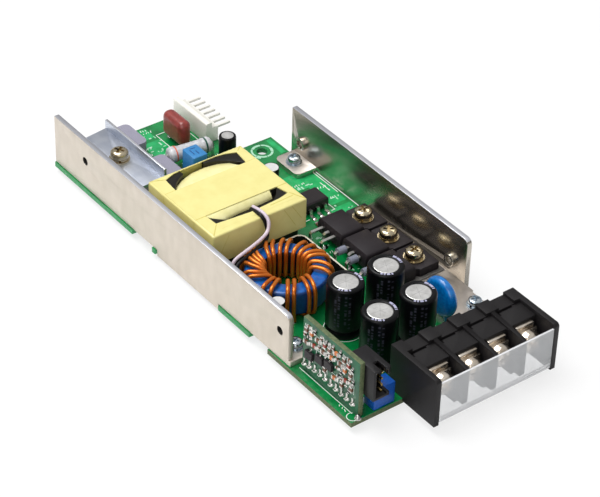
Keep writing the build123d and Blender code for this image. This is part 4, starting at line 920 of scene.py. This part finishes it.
# %% Transformer leads
LEAD = 1.0
LEAD_ROUTES = {
    "white": (
        (21.4, 72.0, 14.6), (21.0, 67.9, 15.9), (21.3, 65.4, 15.1), (21.1, 64.2, 13.9), (20.2, 63.4, 12.1),
        (17.7, 62.4, 11.5), (13.0, 60.7, 11.7), (8.9, 59.9, 11.3), (5.6, 59.3, 10.8), (4.9, 58.8, 6.6),
        (4.3, 58.4, 3.2), (4.3, 58.3, 0.0),
    ),
    "black": (
        (20.5, 71.7, 14.4), (20.0, 67.6, 15.7), (20.1, 65.5, 15.2), (21.1, 65.5, 12.5), (21.1, 64.6, 10.2),
        (19.2, 62.9, 9.7), (14.3, 60.4, 10.6), (9.8, 59.1, 10.5), (6.1, 58.3, 10.1), (4.2, 57.2, 6.4),
        (3.5, 56.3, 3.2), (3.4, 56.1, 0.0),
    ),
}


def curve_length(curve):
    """The length of a curve's own line."""
    places = [vertex.co for vertex in bpy.data.meshes.new_from_object(curve).vertices]
    return sum((there - here).length for here, there in zip(places, places[1:]))


for tint, route in LEAD_ROUTES.items():
    lead = smooth_curve(f"{tint}_lead", (route,))
    print(tint, "lead is", round(curve_length(lead) / MM, 1), "mm long")
    lead.data.bevel_depth = LEAD / 2 * MM
    lead.data.bevel_resolution = 3
    lead.data.use_fill_caps = True
    lead.data.materials.append(looks[f"{tint}_lead"])
    settle(lead, f"transformer_lead_{tint}")

# %% [markdown]
# The tall capacitors are aluminium cans in a shrunk black sleeve. The sleeve curls over the rim and
# leaves the scored can top bare. Copies of one can stand at four places, each turned its own way.
# Plain dashes stand on the sleeve's shoulder and, fainter, down one of its sides. Sleeve and top
# are round, so both are turned profiles.

# %% Output capacitors
SLEEVE = (
    (0, 0.02), (4.5, 0.02), (4.9, 0.2), (5.0, 0.7), (5.0, 1.5), (4.72, 1.95), (4.62, 2.2),
    (4.72, 2.45), (5.0, 2.9), (5.0, 15.0), (4.94, 15.45), (4.72, 15.8), (4.4, 15.97), (4.1, 16.0),
    (3.75, 15.95), (3.5, 15.85), (3.42, 15.68), (3.42, 15.5), (0, 15.5),
)
CAN_TOP = 15.75
CAN_DISC = ((0, 15.5), (3.4, 15.5), (3.4, 15.68), (3.3, CAN_TOP), (3.1, CAN_TOP), (0, CAN_TOP))
SCORE_ANGLES, SCORE_REACH, SCORE_WIDTH = (0, 60, 120), 2.3, 0.11
SHOULDER_DASHES = ((-17, 4), (7, 23), (-26, -21), (208, 216), (220, 226), (231, 243), (248, 254))
DASH_COLUMNS, DASH_ROWS, DASH_TOP, DASH_STEP = (206, 217, 238, 250), 11, 13.8, 0.95
CAN_PLACES = ((20.9, 30.6, -4), (33.7, 30.0, 3), (33.5, 16.4, 6), (20.6, 16.0, -7))


def can_scores(form):
    """The pressed lines that let the can open, as narrow raised lines painted a little darker as the grooves'
    shade.
    """
    for angle in SCORE_ANGLES:
        reach = round_about(SCORE_REACH, angle, 0).xy
        stripe(form, -reach, reach, SCORE_WIDTH, CAN_TOP - 0.05, CAN_TOP + 0.01, LOCAL)


def shoulder_marks(form):
    """Plain marks printed on the sleeve's shoulder: a broad one and some dashes across from it."""
    for start, end in SHOULDER_DASHES:
        arc_plate(form, 3.8, 4.45, start, end, 15.86, 16.01, LOCAL)


def side_marks(form):
    """Faint dashes printed down one side of the sleeve."""
    for column, angle in enumerate(DASH_COLUMNS):
        place = LOCAL @ Matrix.Rotation(math.radians(angle), 4, "Z")
        for row in range(DASH_ROWS):
            z = DASH_TOP - row * DASH_STEP - 0.2 * (row * (column + 2) % 3)
            if (row * 5 + column * 3) % 7:
                bar(form, (4.96, 5.012), (-0.3, 0.3), (z, z + 0.3 + 0.2 * ((row + column) % 3)), place)


can_spots = [(x, y, 0, UP, turn) for x, y, turn in CAN_PLACES]
replaced_cans = [f"output_capacitor_{number}" for number in (1, 2, 3, 4)]
for name, build, look, solids in (
    ("capacitor_sleeves", lambda form: lathe(form, SLEEVE, LOCAL, 64), "sleeve_black", replaced_cans),
    ("capacitor_tops", lambda form: lathe(form, CAN_DISC, LOCAL), "can_top", ()),
    ("capacitor_scores", can_scores, "score_shade", ()),
    ("capacitor_marks", shoulder_marks, "sleeve_print", ()),
    ("capacitor_side_marks", side_marks, "sleeve_faint", ()),
):
    copies(name, template(name + "_part", build, look), can_spots, look, *solids)
print("capacitors at", [place[:2] for place in CAN_PLACES])

# %% [markdown]
# The three small electrolytic capacitors have the same build at other sizes, with pale tops. A row
# gives a can's place, its diameter and height, how much of its top is bare, and the top's look. No
# two are alike, so they are turned in their places without the copies tree.

# %% Small capacitors
SMALL_CANS = (
    (38.6, 107.9, 5.0, 11.0, 0.7, 1), (40.3, 89.3, 4.6, 10.0, 0.9, 2), (3.9, 37.0, 4.0, 13.0, 0.9, 2),
)
form = bmesh.new()
for x, y, diameter, height, bare, lid in SMALL_CANS:
    radius = diameter / 2
    rim = radius * bare
    small_sleeve = (
        (0, 0.02), (radius - 0.3, 0.02), (radius, 0.3), (radius, 1.0), (radius - 0.22, 1.35), (radius, 1.7),
        (radius, height - 0.55), (radius - 0.12, height - 0.2), (rim + radius * 0.06, height - 0.02),
        (rim + radius * 0.03, height - 0.04), (rim, height - 0.2), (0, height - 0.2),
    )
    small_top = ((0, height - 0.25), (rim, height - 0.25), (rim, height - 0.06), (0, height - 0.04))
    lathe(form, small_sleeve, at(x, y), 40)
    lathe(form, small_top, at(x, y), 40, lid)
built("small_cans", form, "sleeve_black can_top cap_white", "small_capacitors")
print("small capacitors:", len(SMALL_CANS))

# %% [markdown]
# The screws have pan heads with a cross recess, over a split lock washer and a flat washer. A
# cutter shaped like the driver's tip is taken from a turned head by a Boolean modifier, and the
# copies tree then sets each kind at its places. A real recess catches the light on its walls, which
# a painted cross wouldn't do.

# %% Screws and washers
THREAD = 2.6
FLAT_WASHER, LOCK_WASHER, WASHER_HOLE = 0.4, 0.6, 2.8
SPLIT_RISE, SPLIT_FROM, SPLIT_TURN, SPLIT_STEPS = 0.06, 8, 344, 40


def cross_screw(name, head, height, shank, length, look):
    """A screw about its own origin: its head stands on z = 0 and its shank points down."""
    radius = head / 2
    profile = (
        (0, -length), (shank / 2 - 0.3, -length), (shank / 2, -length + 0.4), (shank / 2, 0),
        (radius - 0.1, 0), (radius, 0.1), (radius, height * 0.5), (radius * 0.96, height * 0.68),
        (radius * 0.86, height * 0.85), (radius * 0.66, height * 0.96), (radius * 0.4, height), (0, height),
    )
    blank = template(name, lambda form: lathe(form, profile, LOCAL, 40), look)
    reach, wide = radius * 0.58, radius * 0.15

    def driver_tip(form):
        """Two crossed blades, the second a little larger so that no two faces coincide."""
        for turn, spread in ((0, 1.0), (90, 1.01)):
            place = LOCAL @ Matrix.Rotation(math.radians(turn), 4, "Z")
            z_span = (height * 0.35, height * 1.3 * spread)
            bar(form, (-reach * spread, reach * spread), (-wide, wide), z_span, place)

    tip = template(name + "_tip", driver_tip, "")
    cut = blank.modifiers.new("recess", "BOOLEAN")
    cut.operation = "DIFFERENCE"
    cut.solver = "EXACT"
    cut.use_self = True
    cut.object = tip
    mesh = evaluated_mesh(blank)
    blank.modifiers.clear()
    blank.data = mesh
    bpy.data.objects.remove(tip)
    return blank


def washer_pair(form, flat, lock):
    """A flat washer on z = 0 and a split lock washer on it, whose ends stand a little apart."""
    inner, outer = WASHER_HOLE / 2, lock / 2
    flat_ring(form, inner, flat / 2, 0, FLAT_WASHER, LOCAL)
    sections = []
    for step in range(SPLIT_STEPS + 1):
        angle = SPLIT_FROM + SPLIT_TURN * step / SPLIT_STEPS
        low = FLAT_WASHER + SPLIT_RISE * (1 - step / SPLIT_STEPS)
        high = low + LOCK_WASHER - SPLIT_RISE
        corners = ((inner, low), (outer, low), (outer, high), (inner, high))
        sections.append([LOCAL @ round_about(radius, angle, z) for radius, z in corners])
    skin(form, sections)


BOARD_SCREWS = ((5.0, 30.5, 20), (54.2, 17.0, 65), (54.2, 97.0, 35))
TRANSISTOR_SCREWS = ((51.6, 39.6, 12), (51.6, 50.7, 48), (51.6, 61.8, 75))
CLAMP = (10.6, 121.0)
for name, head, height, length, look, seat, places, solid in (
    ("board_screw", 3.8, 1.3, 5.8, "zinc_screw", 2.6, BOARD_SCREWS, "board_screws"),
    ("transistor_screw", 5.0, 2.0, 5.4, "nickel", 5.4, TRANSISTOR_SCREWS, "transistor_screws"),
    ("clamp_pan_screw", 5.2, 2.2, 10.6, "nickel", 7.4, ((*CLAMP, 30),), "clamp_screw"),
):
    part = cross_screw(name + "_part", head, height, THREAD, length, look)
    copies(name, part, [(x, y, seat, UP, turn) for x, y, turn in places], look, solid)
for name, flat, lock, look, seat, places, solid in (
    ("board_washer", 4.8, 4.0, "zinc_screw", 1.6, BOARD_SCREWS, "board_screw_washers"),
    ("transistor_washer", 6.0, 5.3, "nickel", 4.4, TRANSISTOR_SCREWS, "transistor_washers"),
    ("clamp_washer", 6.0, 5.3, "nickel", 6.4, ((*CLAMP, 200),), "clamp_screw_washers"),
):
    part = template(name + "_part", lambda form: washer_pair(form, flat, lock), look)
    copies(name, part, [(x, y, seat, UP, turn * 3) for x, y, turn in places], look, solid)
print("screws:", len(BOARD_SCREWS) + len(TRANSISTOR_SCREWS) + 1)

# %% [markdown]
# The plates are sheared from aluminium sheet. The sheared edges are a little rounded, and their top
# faces are painted brighter, partly raw cut metal and partly painted highlight. The tapped holes are
# painted dark inside as painted shade, and the bracket's feet are duller than its wall.
# The moulded pieces are the solids themselves with their edges softened. Each test for a look goes
# by a face's place, size and direction, so none is picked by hand.

# %% Plates, clamp channel and moulded pieces
PLATE_TOP, CHANNEL_TOP, FOOT_TOP = 14.5, 9.0, 3.0
HOLES_FROM, HOLES_TO = 5.5, 12.5
SMALL_FACE = 0.9 * MM * MM


def height_of(face):
    """How high a face lies over the board, in millimetres."""
    return (face.center.z - corner.z) / MM


def inside_hole(face):
    """A small face across the sheet, at mid height, lines one of the tapped holes."""
    across = abs(face.normal.x) < 0.3 and face.area < SMALL_FACE
    return across and HOLES_FROM < height_of(face) < HOLES_TO


left_plate = softened("left_heatsink_plate", 0.14, "cut_edge ferrite")
right_plate = softened("right_heatsink_bracket", 0.14, "cut_edge foot_aluminium")
channel = softened("clamp_channel", 0.12, "cut_edge")
# Painted highlight, partly the raw cut: each sheet's top faces get the bright edge look.
for sheet, top in ((left_plate, PLATE_TOP), (right_plate, PLATE_TOP), (channel, CHANNEL_TOP)):
    paint(sheet, 1, lambda face: face.normal.z > 0.7 and height_of(face) > top)
# Painted shade: the walls of the tapped holes get the dark ferrite look.
paint(left_plate, 2, inside_hole)
paint(right_plate, 2, lambda face: face.normal.z > 0.3 and height_of(face) < FOOT_TOP)

EDGE_WIDTHS = {
    0.05: "transistor_pad",
    0.08: "chip_body",
    0.1: "power_transistor_1 power_transistor_2 power_transistor_3 terminal_cover",
    0.12: "transformer_bobbin terminal_washers",
    0.15: "connector_housing signal_header",
    0.16: "terminal_housing",
    0.18: "trimmer_body",
    0.25: "box_capacitor",
    0.35: "insulating_caps",
}
for width, solids in EDGE_WIDTHS.items():
    for solid in solids.split():
        softened(solid, width)
for solid in ("film_capacitor", "lead_sleeves"):
    settle(finished(solid + "_smooth", merged(solid), look_of[solid], smooth=50), solid)
print("softened solids ready")

# %% [markdown]
# The disc capacitor is dipped, so its rim runs round without an edge, and the coat creeps a little
# down each lead. The box capacitor only carries a few plain marks. The dip is round like the disc,
# so one turned profile gives it.

# %% Disc capacitor and box capacitor
DISC = (44.2, 19.4, 7.5)
DISC_FLAT, DISC_RIM, DISC_EDGE, LEAD_OFFSET = 2.6, 4.3, 1.5, 2.5
RUNNEL = ((0, 1.0), (0.5, 1.0), (0.8, 1.9), (1.15, 3.2), (0, 3.2))
half_circle = [math.radians(-90 + 180 * step / 10) for step in range(11)]
rim = [(DISC_RIM + DISC_EDGE * math.cos(angle), 1.45 * math.sin(angle)) for angle in half_circle]
form = bmesh.new()
lathe(form, [(0, -1.75), (DISC_FLAT, -1.7), *rim, (DISC_FLAT, 1.7), (0, 1.75)], at(*DISC, (1, 0, 0)), 64)
for side in (-LEAD_OFFSET, LEAD_OFFSET):
    lathe(form, RUNNEL, at(DISC[0], DISC[1] + side), 20)
built("dipped_disc", form, "disc_blue", "disc_capacitor", smooth=60)

BOX_STROKES = (((26.6, 107.0), (26.6, 109.4)), ((27.9, 106.6), (27.9, 108.4)), ((27.0, 109.9), (28.6, 109.6)))
form = bmesh.new()
for start, end in BOX_STROKES:
    stripe(form, start, end, 0.3, 9.55, 9.615)
for z in (3.2, 6.4):
    bar(form, (26.4, 28.8), (105.235, 105.3), (z, z + 0.4))
built("box_marks", form, "core_side")
print("disc and box ready")

# %% [markdown]
# The axial part is a ceramic barrel with swollen ends, marked with painted bands. One turned
# profile serves, mirrored at the far end, and the bands are thin rings over it.

# %% Axial part
AXIAL_FROM, AXIAL_TO, AXIAL_Z = Vector((24.0, 116.5)), Vector((37.6, 114.8)), 4.6
BARREL = ((0, 0), (1.5, 0.05), (2.1, 0.4), (2.38, 1.0), (2.4, 2.0), (2.25, 2.8), (2.1, 3.4))
BAND_IN, BAND_OUT = 2.12, 2.42
BANDS = ((1.9, 2.3, 1), (11.4, 11.9, 2))
axial_run = AXIAL_TO - AXIAL_FROM
axial_place = at(*AXIAL_FROM, AXIAL_Z, (*axial_run, 0))
far_end = [(radius, axial_run.length - height) for radius, height in reversed(BARREL)]
form = bmesh.new()
lathe(form, (*BARREL, *far_end), axial_place)
for start, end, index in BANDS:
    band = ((BAND_IN, start), (BAND_OUT, start), (BAND_OUT, end), (BAND_IN, end))
    lathe(form, band, axial_place, index=index)
built("banded_barrel", form, "axial_grey band_orange band_green", "axial_part", smooth=60)
print("axial part", round(axial_run.length, 1), "mm long")

# %% [markdown]
# On the terminal block the plates' bent tops are broad and rounded, and each screw clamps a square
# washer. The screws point back into the housing, so their placing looks out to the front. The clear
# cover shows as a pane with painted highlight lines where its ribs and its edge catch the light. The
# rest of the block comes from the solids, so only the screws and those lines are built here.

# %% Terminals
BLOCK_MIDDLE, WAY_PITCH = 36.2, 9.5
TERMINAL_TURNS = (35, 80, 10, 55)
SCREW_SEAT = (-7.2, 7.9)
COVER_FRONT, COVER_BACK, COVER_LEFT, COVER_RIGHT, COVER_TOP = -12.5, -11.9, 17.65, 54.75, 12.8
COVER_LINE = 0.09
softened("terminal_plates", 0.5, segments=3)
ways = [BLOCK_MIDDLE + (index - 1.5) * WAY_PITCH for index in range(4)]
screw_places = [(x, *SCREW_SEAT, (0, -1, 0), turn) for x, turn in zip(ways, TERMINAL_TURNS)]
part = cross_screw("terminal_screw_part", 6.2, 2.8, 3.4, 4.0, "terminal_nickel")
copies("terminal_screw", part, screw_places, "terminal_nickel", "terminal_screws")
x_span, y_span = (COVER_LEFT + 0.1, COVER_RIGHT - 0.1), (COVER_FRONT + 0.1, COVER_BACK - 0.1)
# Painted highlight lines along the cover's ribs and top edge.
form = bmesh.new()
for z in (0.25, 1.15, COVER_TOP - 0.2):
    bar(form, x_span, y_span, (z - COVER_LINE, z + COVER_LINE))
built("cover_edge_lines", form, "cover_edge_highlight")
print("terminals at x =", [round(x, 2) for x in ways])

# %% [markdown]
# The upright board carries its small parts on the face towards the left plate. Each chip part is a
# ceramic body between two tinned ends that sit in bright solder, and the row of pins along the foot
# is soldered in round joints. At this size a few plain blocks and mounds are enough for each part.

# %% Control board
FACE = 2.3
FACE_INK = (0.005, 0.03)
CHIPS = (
    (22.3, 14.1, 90, 0), (20.2, 14.0, 90, 1), (17.5, 13.6, 0, 0), (14.7, 14.0, 90, 2), (12.8, 13.8, 90, 0),
    (10.0, 14.5, 0, 1), (6.8, 14.5, 90, 0), (5.0, 14.0, 90, 2), (8.2, 12.3, 0, 0), (6.4, 11.5, 90, 1),
    (4.1, 11.6, 90, 0), (5.9, 8.6, 0, 2), (3.6, 7.4, 90, 0), (22.2, 10.2, 0, 0), (10.4, 6.4, 0, 1),
    (18.9, 11.0, 0, 2), (14.4, 6.4, 90, 0), (7.4, 6.2, 90, 0), (15.2, 11.5, 0, 0), (11.9, 11.9, 0, 1),
)
SMALL_CHIPS = (
    (21.3, 15.6), (18.8, 15.4), (16.3, 15.0), (13.6, 15.5), (11.4, 15.3), (8.4, 15.6), (5.0, 15.8),
    (3.4, 13.4), (23.0, 12.4), (21.2, 12.2), (17.0, 11.9), (13.4, 11.9), (9.6, 10.2), (7.9, 9.9),
    (4.4, 9.6), (8.8, 8.0), (7.6, 7.9), (4.6, 6.0), (9.4, 12.9), (2.9, 9.8),
)
PACKAGES = ((20.5, 7.0), (16.3, 8.4), (12.5, 9.1))
PACKAGE_LEGS = ((-0.95, -1), (0.95, -1), (0.0, 1))
PIN_ROW = (
    (22.8, 2.9), (20.6, 3.4), (18.4, 3.6), (16.2, 3.7), (14.0, 3.8),
    (11.8, 3.5), (9.6, 3.5), (7.4, 3.4), (5.2, 3.5), (2.9, 3.4),
)
LOOSE_JOINTS = 26
control = softened("control_board", 0.1, "board_edge")
paint(control, 1, lambda face: abs(face.normal.x) < 0.5)


def on_face(y, z, turn=0):
    """A placing on the upright board's face, whose z looks out to the left."""
    return at(FACE, y, z, (-1, 0, 0), turn)


def rounded_mound(form, radius, height, place, steps=20):
    """A solder joint: wide at its foot and rounded at its top."""
    shape = ((1, 0), (0.92, 0.25), (0.62, 0.6), (0.42, 0.9), (0.22, 1), (0, 1))
    lathe(form, [(radius * wide, height * high) for wide, high in shape], place, steps)


def chip_part(form, place, length, width, rise, body):
    """A chip part lying on a board: tinned ends, a body between them and a fillet at each end."""
    half, end = length / 2, length * 0.24
    bar(form, (-half + end, half - end), (-width / 2 + 0.03, width / 2 - 0.03), (0.0, rise), place, body)
    for side in (-1, 1):
        near, far, toe = side * (half - end), side * half, side * (half + 0.35)
        outline = ((near, 0), (toe, 0), (far, rise * 0.75), (far, rise + 0.02), (near, rise + 0.02))
        skin(form, [[place @ Vector((x, y, z)) for x, z in outline] for y in (-width / 2, width / 2)])


form = bmesh.new()
for y, z, turn, body in CHIPS:
    chip_part(form, on_face(y, z, turn), 1.9, 1.05, 0.55, body + 1)
for number, (y, z) in enumerate(SMALL_CHIPS):
    chip_part(form, on_face(y, z, 90 * (number % 3 > 0)), 1.2, 0.7, 0.4, 1 + 3 * (number % 2))
for y, z in PACKAGES:
    place = on_face(y, z)
    bar(form, (-1.45, 1.45), (-1.1, 1.1), (0.1, 1.0), place, 4)
    for leg, side in PACKAGE_LEGS:
        for low, high, reach in ((0.0, 0.25, 1.75), (0.25, 0.6, 1.3)):
            bar(form, (leg - 0.24, leg + 0.24), sorted((side * 1.05, side * reach)), (low, high), place)
built("control_parts", form, "solder chip_brown chip_orange chip_red moulded_epoxy", "control_board_parts")

form = bmesh.new()
for y, z in PIN_ROW:
    rounded_mound(form, 0.8, 0.8, on_face(y, z - 0.5))
    bar(form, (-0.34, 0.34), (-0.2, 1.5), (0.0, 0.3), on_face(y, z))
    lathe(form, ((0, 0.5), (0.26, 0.5), (0.26, 1.05), (0, 1.15)), on_face(y, z), 12)
chance = random.Random(7)
for _ in range(LOOSE_JOINTS):
    y, z = chance.uniform(3.0, 23.0), chance.uniform(5.4, 15.6)
    rounded_mound(form, chance.uniform(0.25, 0.5), chance.uniform(0.12, 0.3), on_face(y, z), 12)
rounded_mound(form, 1.0, 1.2, at(2.1, 0.5))
built("control_solder", form, "solder")

form = bmesh.new()
for y, z, turn, _ in CHIPS[::2]:
    for side in (-0.78, 0.78):
        stripe(form, (-1.5, side), (1.5, side), 0.14, *FACE_INK, on_face(y, z, turn))
frame_corners = ((-2.0, -1.8), (2.0, -1.8), (2.0, 1.8), (-2.0, 1.8), (-2.0, -1.8))
for start, end in zip(frame_corners, frame_corners[1:]):
    stripe(form, start, end, 0.18, *FACE_INK, on_face(*PACKAGES[1]))
built("control_print", form, "silk_white")
print("control board:", len(CHIPS) + len(SMALL_CHIPS), "chip parts,", len(PIN_ROW), "pins")

# %% [markdown]
# The main board's mask is glossy green over copper. Where copper lies under it the green is lighter
# and stands up by a hair, so the copper areas are thin plates of their own green. White print marks
# the outlines of the parts with paths and rings, and has rows of short strokes between them.
# Fainter strokes are the tracks and pads that show through the mask. A picture of the board could
# show all that, but plates and strokes stay sharp from every side.

# %% Main board
board = softened("main_board", 0.08, "board_edge board_side", segments=1)
paint(board, 1, lambda face: abs(face.normal.z) < 0.5)
paint(board, 2, lambda face: abs(face.normal.z) < 0.5 and face.center.y > spot(0, 26).y)

COPPER_AREAS = (
    ((44.0, 69.8), (56.8, 69.8), (56.8, 74.5), (50.0, 74.5), (48.5, 72.6), (44.0, 72.6)),
    ((51.6, 76.0), (56.9, 76.0), (56.9, 91.0), (53.8, 94.0), (46.5, 94.0), (46.5, 86.5), (51.6, 86.5)),
    ((36.8, 86.0), (44.8, 86.0), (44.8, 99.5), (47.5, 103.0), (44.0, 104.5), (36.8, 104.5)),
    ((46.0, 104.0), (47.2, 104.0), (47.2, 112.2), (46.0, 112.2)),
    ((55.4, 104.5), (57.0, 104.5), (57.0, 112.2), (55.4, 112.2)),
    ((26.2, 7.0), (38.0, 7.0), (40.0, 9.4), (52.0, 9.4), (52.0, 10.9), (26.2, 10.9)),
    ((7.0, 8.0), (14.4, 8.0), (14.4, 23.5), (11.0, 26.0), (7.0, 26.0)),
    ((18.0, 132.0), (30.0, 132.0), (30.0, 137.0), (18.0, 137.0)),
    ((24.5, 119.8), (31.0, 119.8), (31.0, 130.5), (24.5, 130.5)),
    ((31.8, 110.0), (39.6, 110.0), (39.6, 111.8), (31.8, 111.8)),
)
COPPER_RISE = (-0.02, 0.035)
form = bmesh.new()
for outline in COPPER_AREAS:
    prism(form, outline, *COPPER_RISE)
built("copper_under_mask", form, "mask_over_copper")

INK = (0.02, 0.045)
PRINT_WIDTH, MARK_WIDTH = 0.22, 0.2
PRINT_PATHS = (
    ((2.0, 2.7), (2.0, 24.6)),
    ((57.1, 80.0), (57.1, 93.0)),
    ((55.7, 82.0), (55.7, 86.5)),
    ((42.6, 74.0), (41.0, 74.0), (41.0, 84.6), (42.6, 84.6)),
    ((50.2, 74.0), (51.4, 74.0), (51.4, 84.6), (50.2, 84.6)),
    ((30.8, 120.6), (37.2, 120.6), (37.2, 132.6), (30.8, 132.6), (30.8, 120.6)),
    ((24.2, 112.0), (24.2, 104.4), (31.0, 104.4), (31.0, 112.0)),
    ((42.4, 12.2), (46.0, 12.2)),
    ((41.4, 13.0), (41.4, 26.0)),
    ((47.0, 18.4), (47.0, 26.0)),
    ((34.2, 66.4), (34.2, 48.5)),
    ((36.4, 99.6), (36.4, 110.8)),
    ((16.2, 7.2), (16.2, 9.2)),
    ((15.0, 8.2), (17.4, 8.2)),
    ((39.6, 119.6), (39.6, 138.0)),
)
PRINT_RINGS = [(x, y, 5.4) for x, y, _ in CAN_PLACES]
PRINT_RINGS += [(x, y, diameter / 2 + 0.4) for x, y, diameter, *_ in SMALL_CANS[:2]]
MARK_ROWS = (
    (43.0, 92.0, 5), (43.0, 93.6, 4), (47.6, 88.4, 6), (38.0, 113.6, 4), (26.4, 134.6, 6), (26.4, 136.0, 5),
    (21.2, 113.4, 6), (20.8, 122.0, 7), (21.0, 124.6, 5), (21.6, 127.4, 6), (37.0, 26.0, 4), (47.2, 12.6, 6),
    (53.6, 78.4, 4), (53.4, 84.0, 4), (36.4, 58.4, 4), (1.1, 4.2, 1), (1.1, 5.4, 1), (1.1, 6.6, 1),
)
MARK_STEP = 0.8
form = bmesh.new()
for path in PRINT_PATHS:
    for start, end in zip(path, path[1:]):
        stripe(form, start, end, PRINT_WIDTH, *INK)
for x, y, radius in PRINT_RINGS:
    flat_ring(form, radius - 0.12, radius + 0.1, *INK, at(x, y))
flat_ring(form, 1.45, 1.65, *INK, at(1.4, 1.7), 24)
prism(form, ((44.4, 96.4), (46.0, 96.0), (45.4, 97.6)), *INK)
chance = random.Random(3)
for x, y, count in MARK_ROWS:
    for column in range(count):
        start = (x + column * MARK_STEP, y + chance.uniform(0, 0.2))
        end = (start[0] + chance.uniform(-0.1, 0.5), start[1] + chance.uniform(0.5, 1.0))
        stripe(form, start, end, MARK_WIDTH, *INK)
built("board_print", form, "silk_white")

HOLE, HOLE_RING = (51.4, 108.5), 3.2
RING_RISE, PAD_RISE = (0.02, 0.05), (0.02, 0.042)
RING_ARCS = (
    (5, 62, 0.5), (66, 128, 0.7), (131, 200, 0.45), (204, 262, 0.7), (266, 322, 0.55), (325, 362, 0.7),
)
PAD_AREAS = (
    ((18.5, 30.5), (112.5, 134.0), 46),
    ((43.5, 56.0), (70.0, 97.0), 30),
    ((36.8, 44.0), (44.0, 68.0), 22),
)
form = bmesh.new()
for start, end, wide in RING_ARCS:
    arc_plate(form, HOLE_RING - wide, HOLE_RING + 0.1, start, end, *RING_RISE, at(*HOLE))
arc_plate(form, HOLE_RING + 0.1, HOLE_RING + 0.7, 200, 228, *RING_RISE, at(*HOLE))
chance = random.Random(11)
for x_span, y_span, count in PAD_AREAS:
    for _ in range(count):
        x, y = chance.uniform(*x_span), chance.uniform(*y_span)
        length = chance.uniform(0.4, 1.6)
        end = (x, y + length) if chance.random() < 0.5 else (x + length, y)
        stripe(form, (x, y), end, chance.uniform(0.25, 0.6), *PAD_RISE)
built("board_pads", form, "silk_faint")
print("board print:", len(PRINT_PATHS), "paths,", len(PRINT_RINGS), "rings")

# %% [markdown]
# Parts with leads through the board stand in small cones of solder, and the chip parts on the main
# board are made as those on the upright one. Every joint is the same turned mound at another size,
# so one list of places makes them all.

# %% Solder on the main board
SURFACE_CHIPS = ((43.0, 70.6), (45.6, 70.6), (40.6, 84.6), (34.4, 61.6), (34.4, 56.4), (34.4, 50.8))
LEAD_PITCH = 2.54
OUTER_LEADS_X, MIDDLE_LEAD_X = 35.45, 38.2
CHIP_MIDDLE, CHIP_ROWS = 46.4, (73.4, 84.6)
SINGLE_LEADS = (
    (44.2, 16.9), (44.2, 21.9), (34.0, 123.1), (34.0, 130.1), (4.3, 58.3), (3.4, 56.1), (11.8, 40.6),
)
form = bmesh.new()
for number, (x, y) in enumerate(SURFACE_CHIPS):
    chip_part(form, at(x, y, 0, UP, 90), 1.9, 1.2, 0.58, 1 + number % 2)
built("surface_chips", form, "solder chip_brown chip_orange", "surface_parts")

joints = []
for _, y, _ in TRANSISTOR_SCREWS:
    joints += [(OUTER_LEADS_X, y - LEAD_PITCH, 1.25, 0.9), (OUTER_LEADS_X, y + LEAD_PITCH, 1.25, 0.9)]
    joints.append((MIDDLE_LEAD_X, y, 1.25, 0.9))
for side in (-LEAD_PITCH, 0, LEAD_PITCH):
    joints += [(CHIP_MIDDLE + side, y, 0.75, 0.4) for y in CHIP_ROWS]
joints += [(x, y, 0.9, 0.45) for x, y in SINGLE_LEADS]
form = bmesh.new()
for x, y, radius, height in joints:
    rounded_mound(form, radius, height, at(x, y))
built("board_solder", form, "solder")
print("surface chips:", len(SURFACE_CHIPS), "joints:", len(joints))
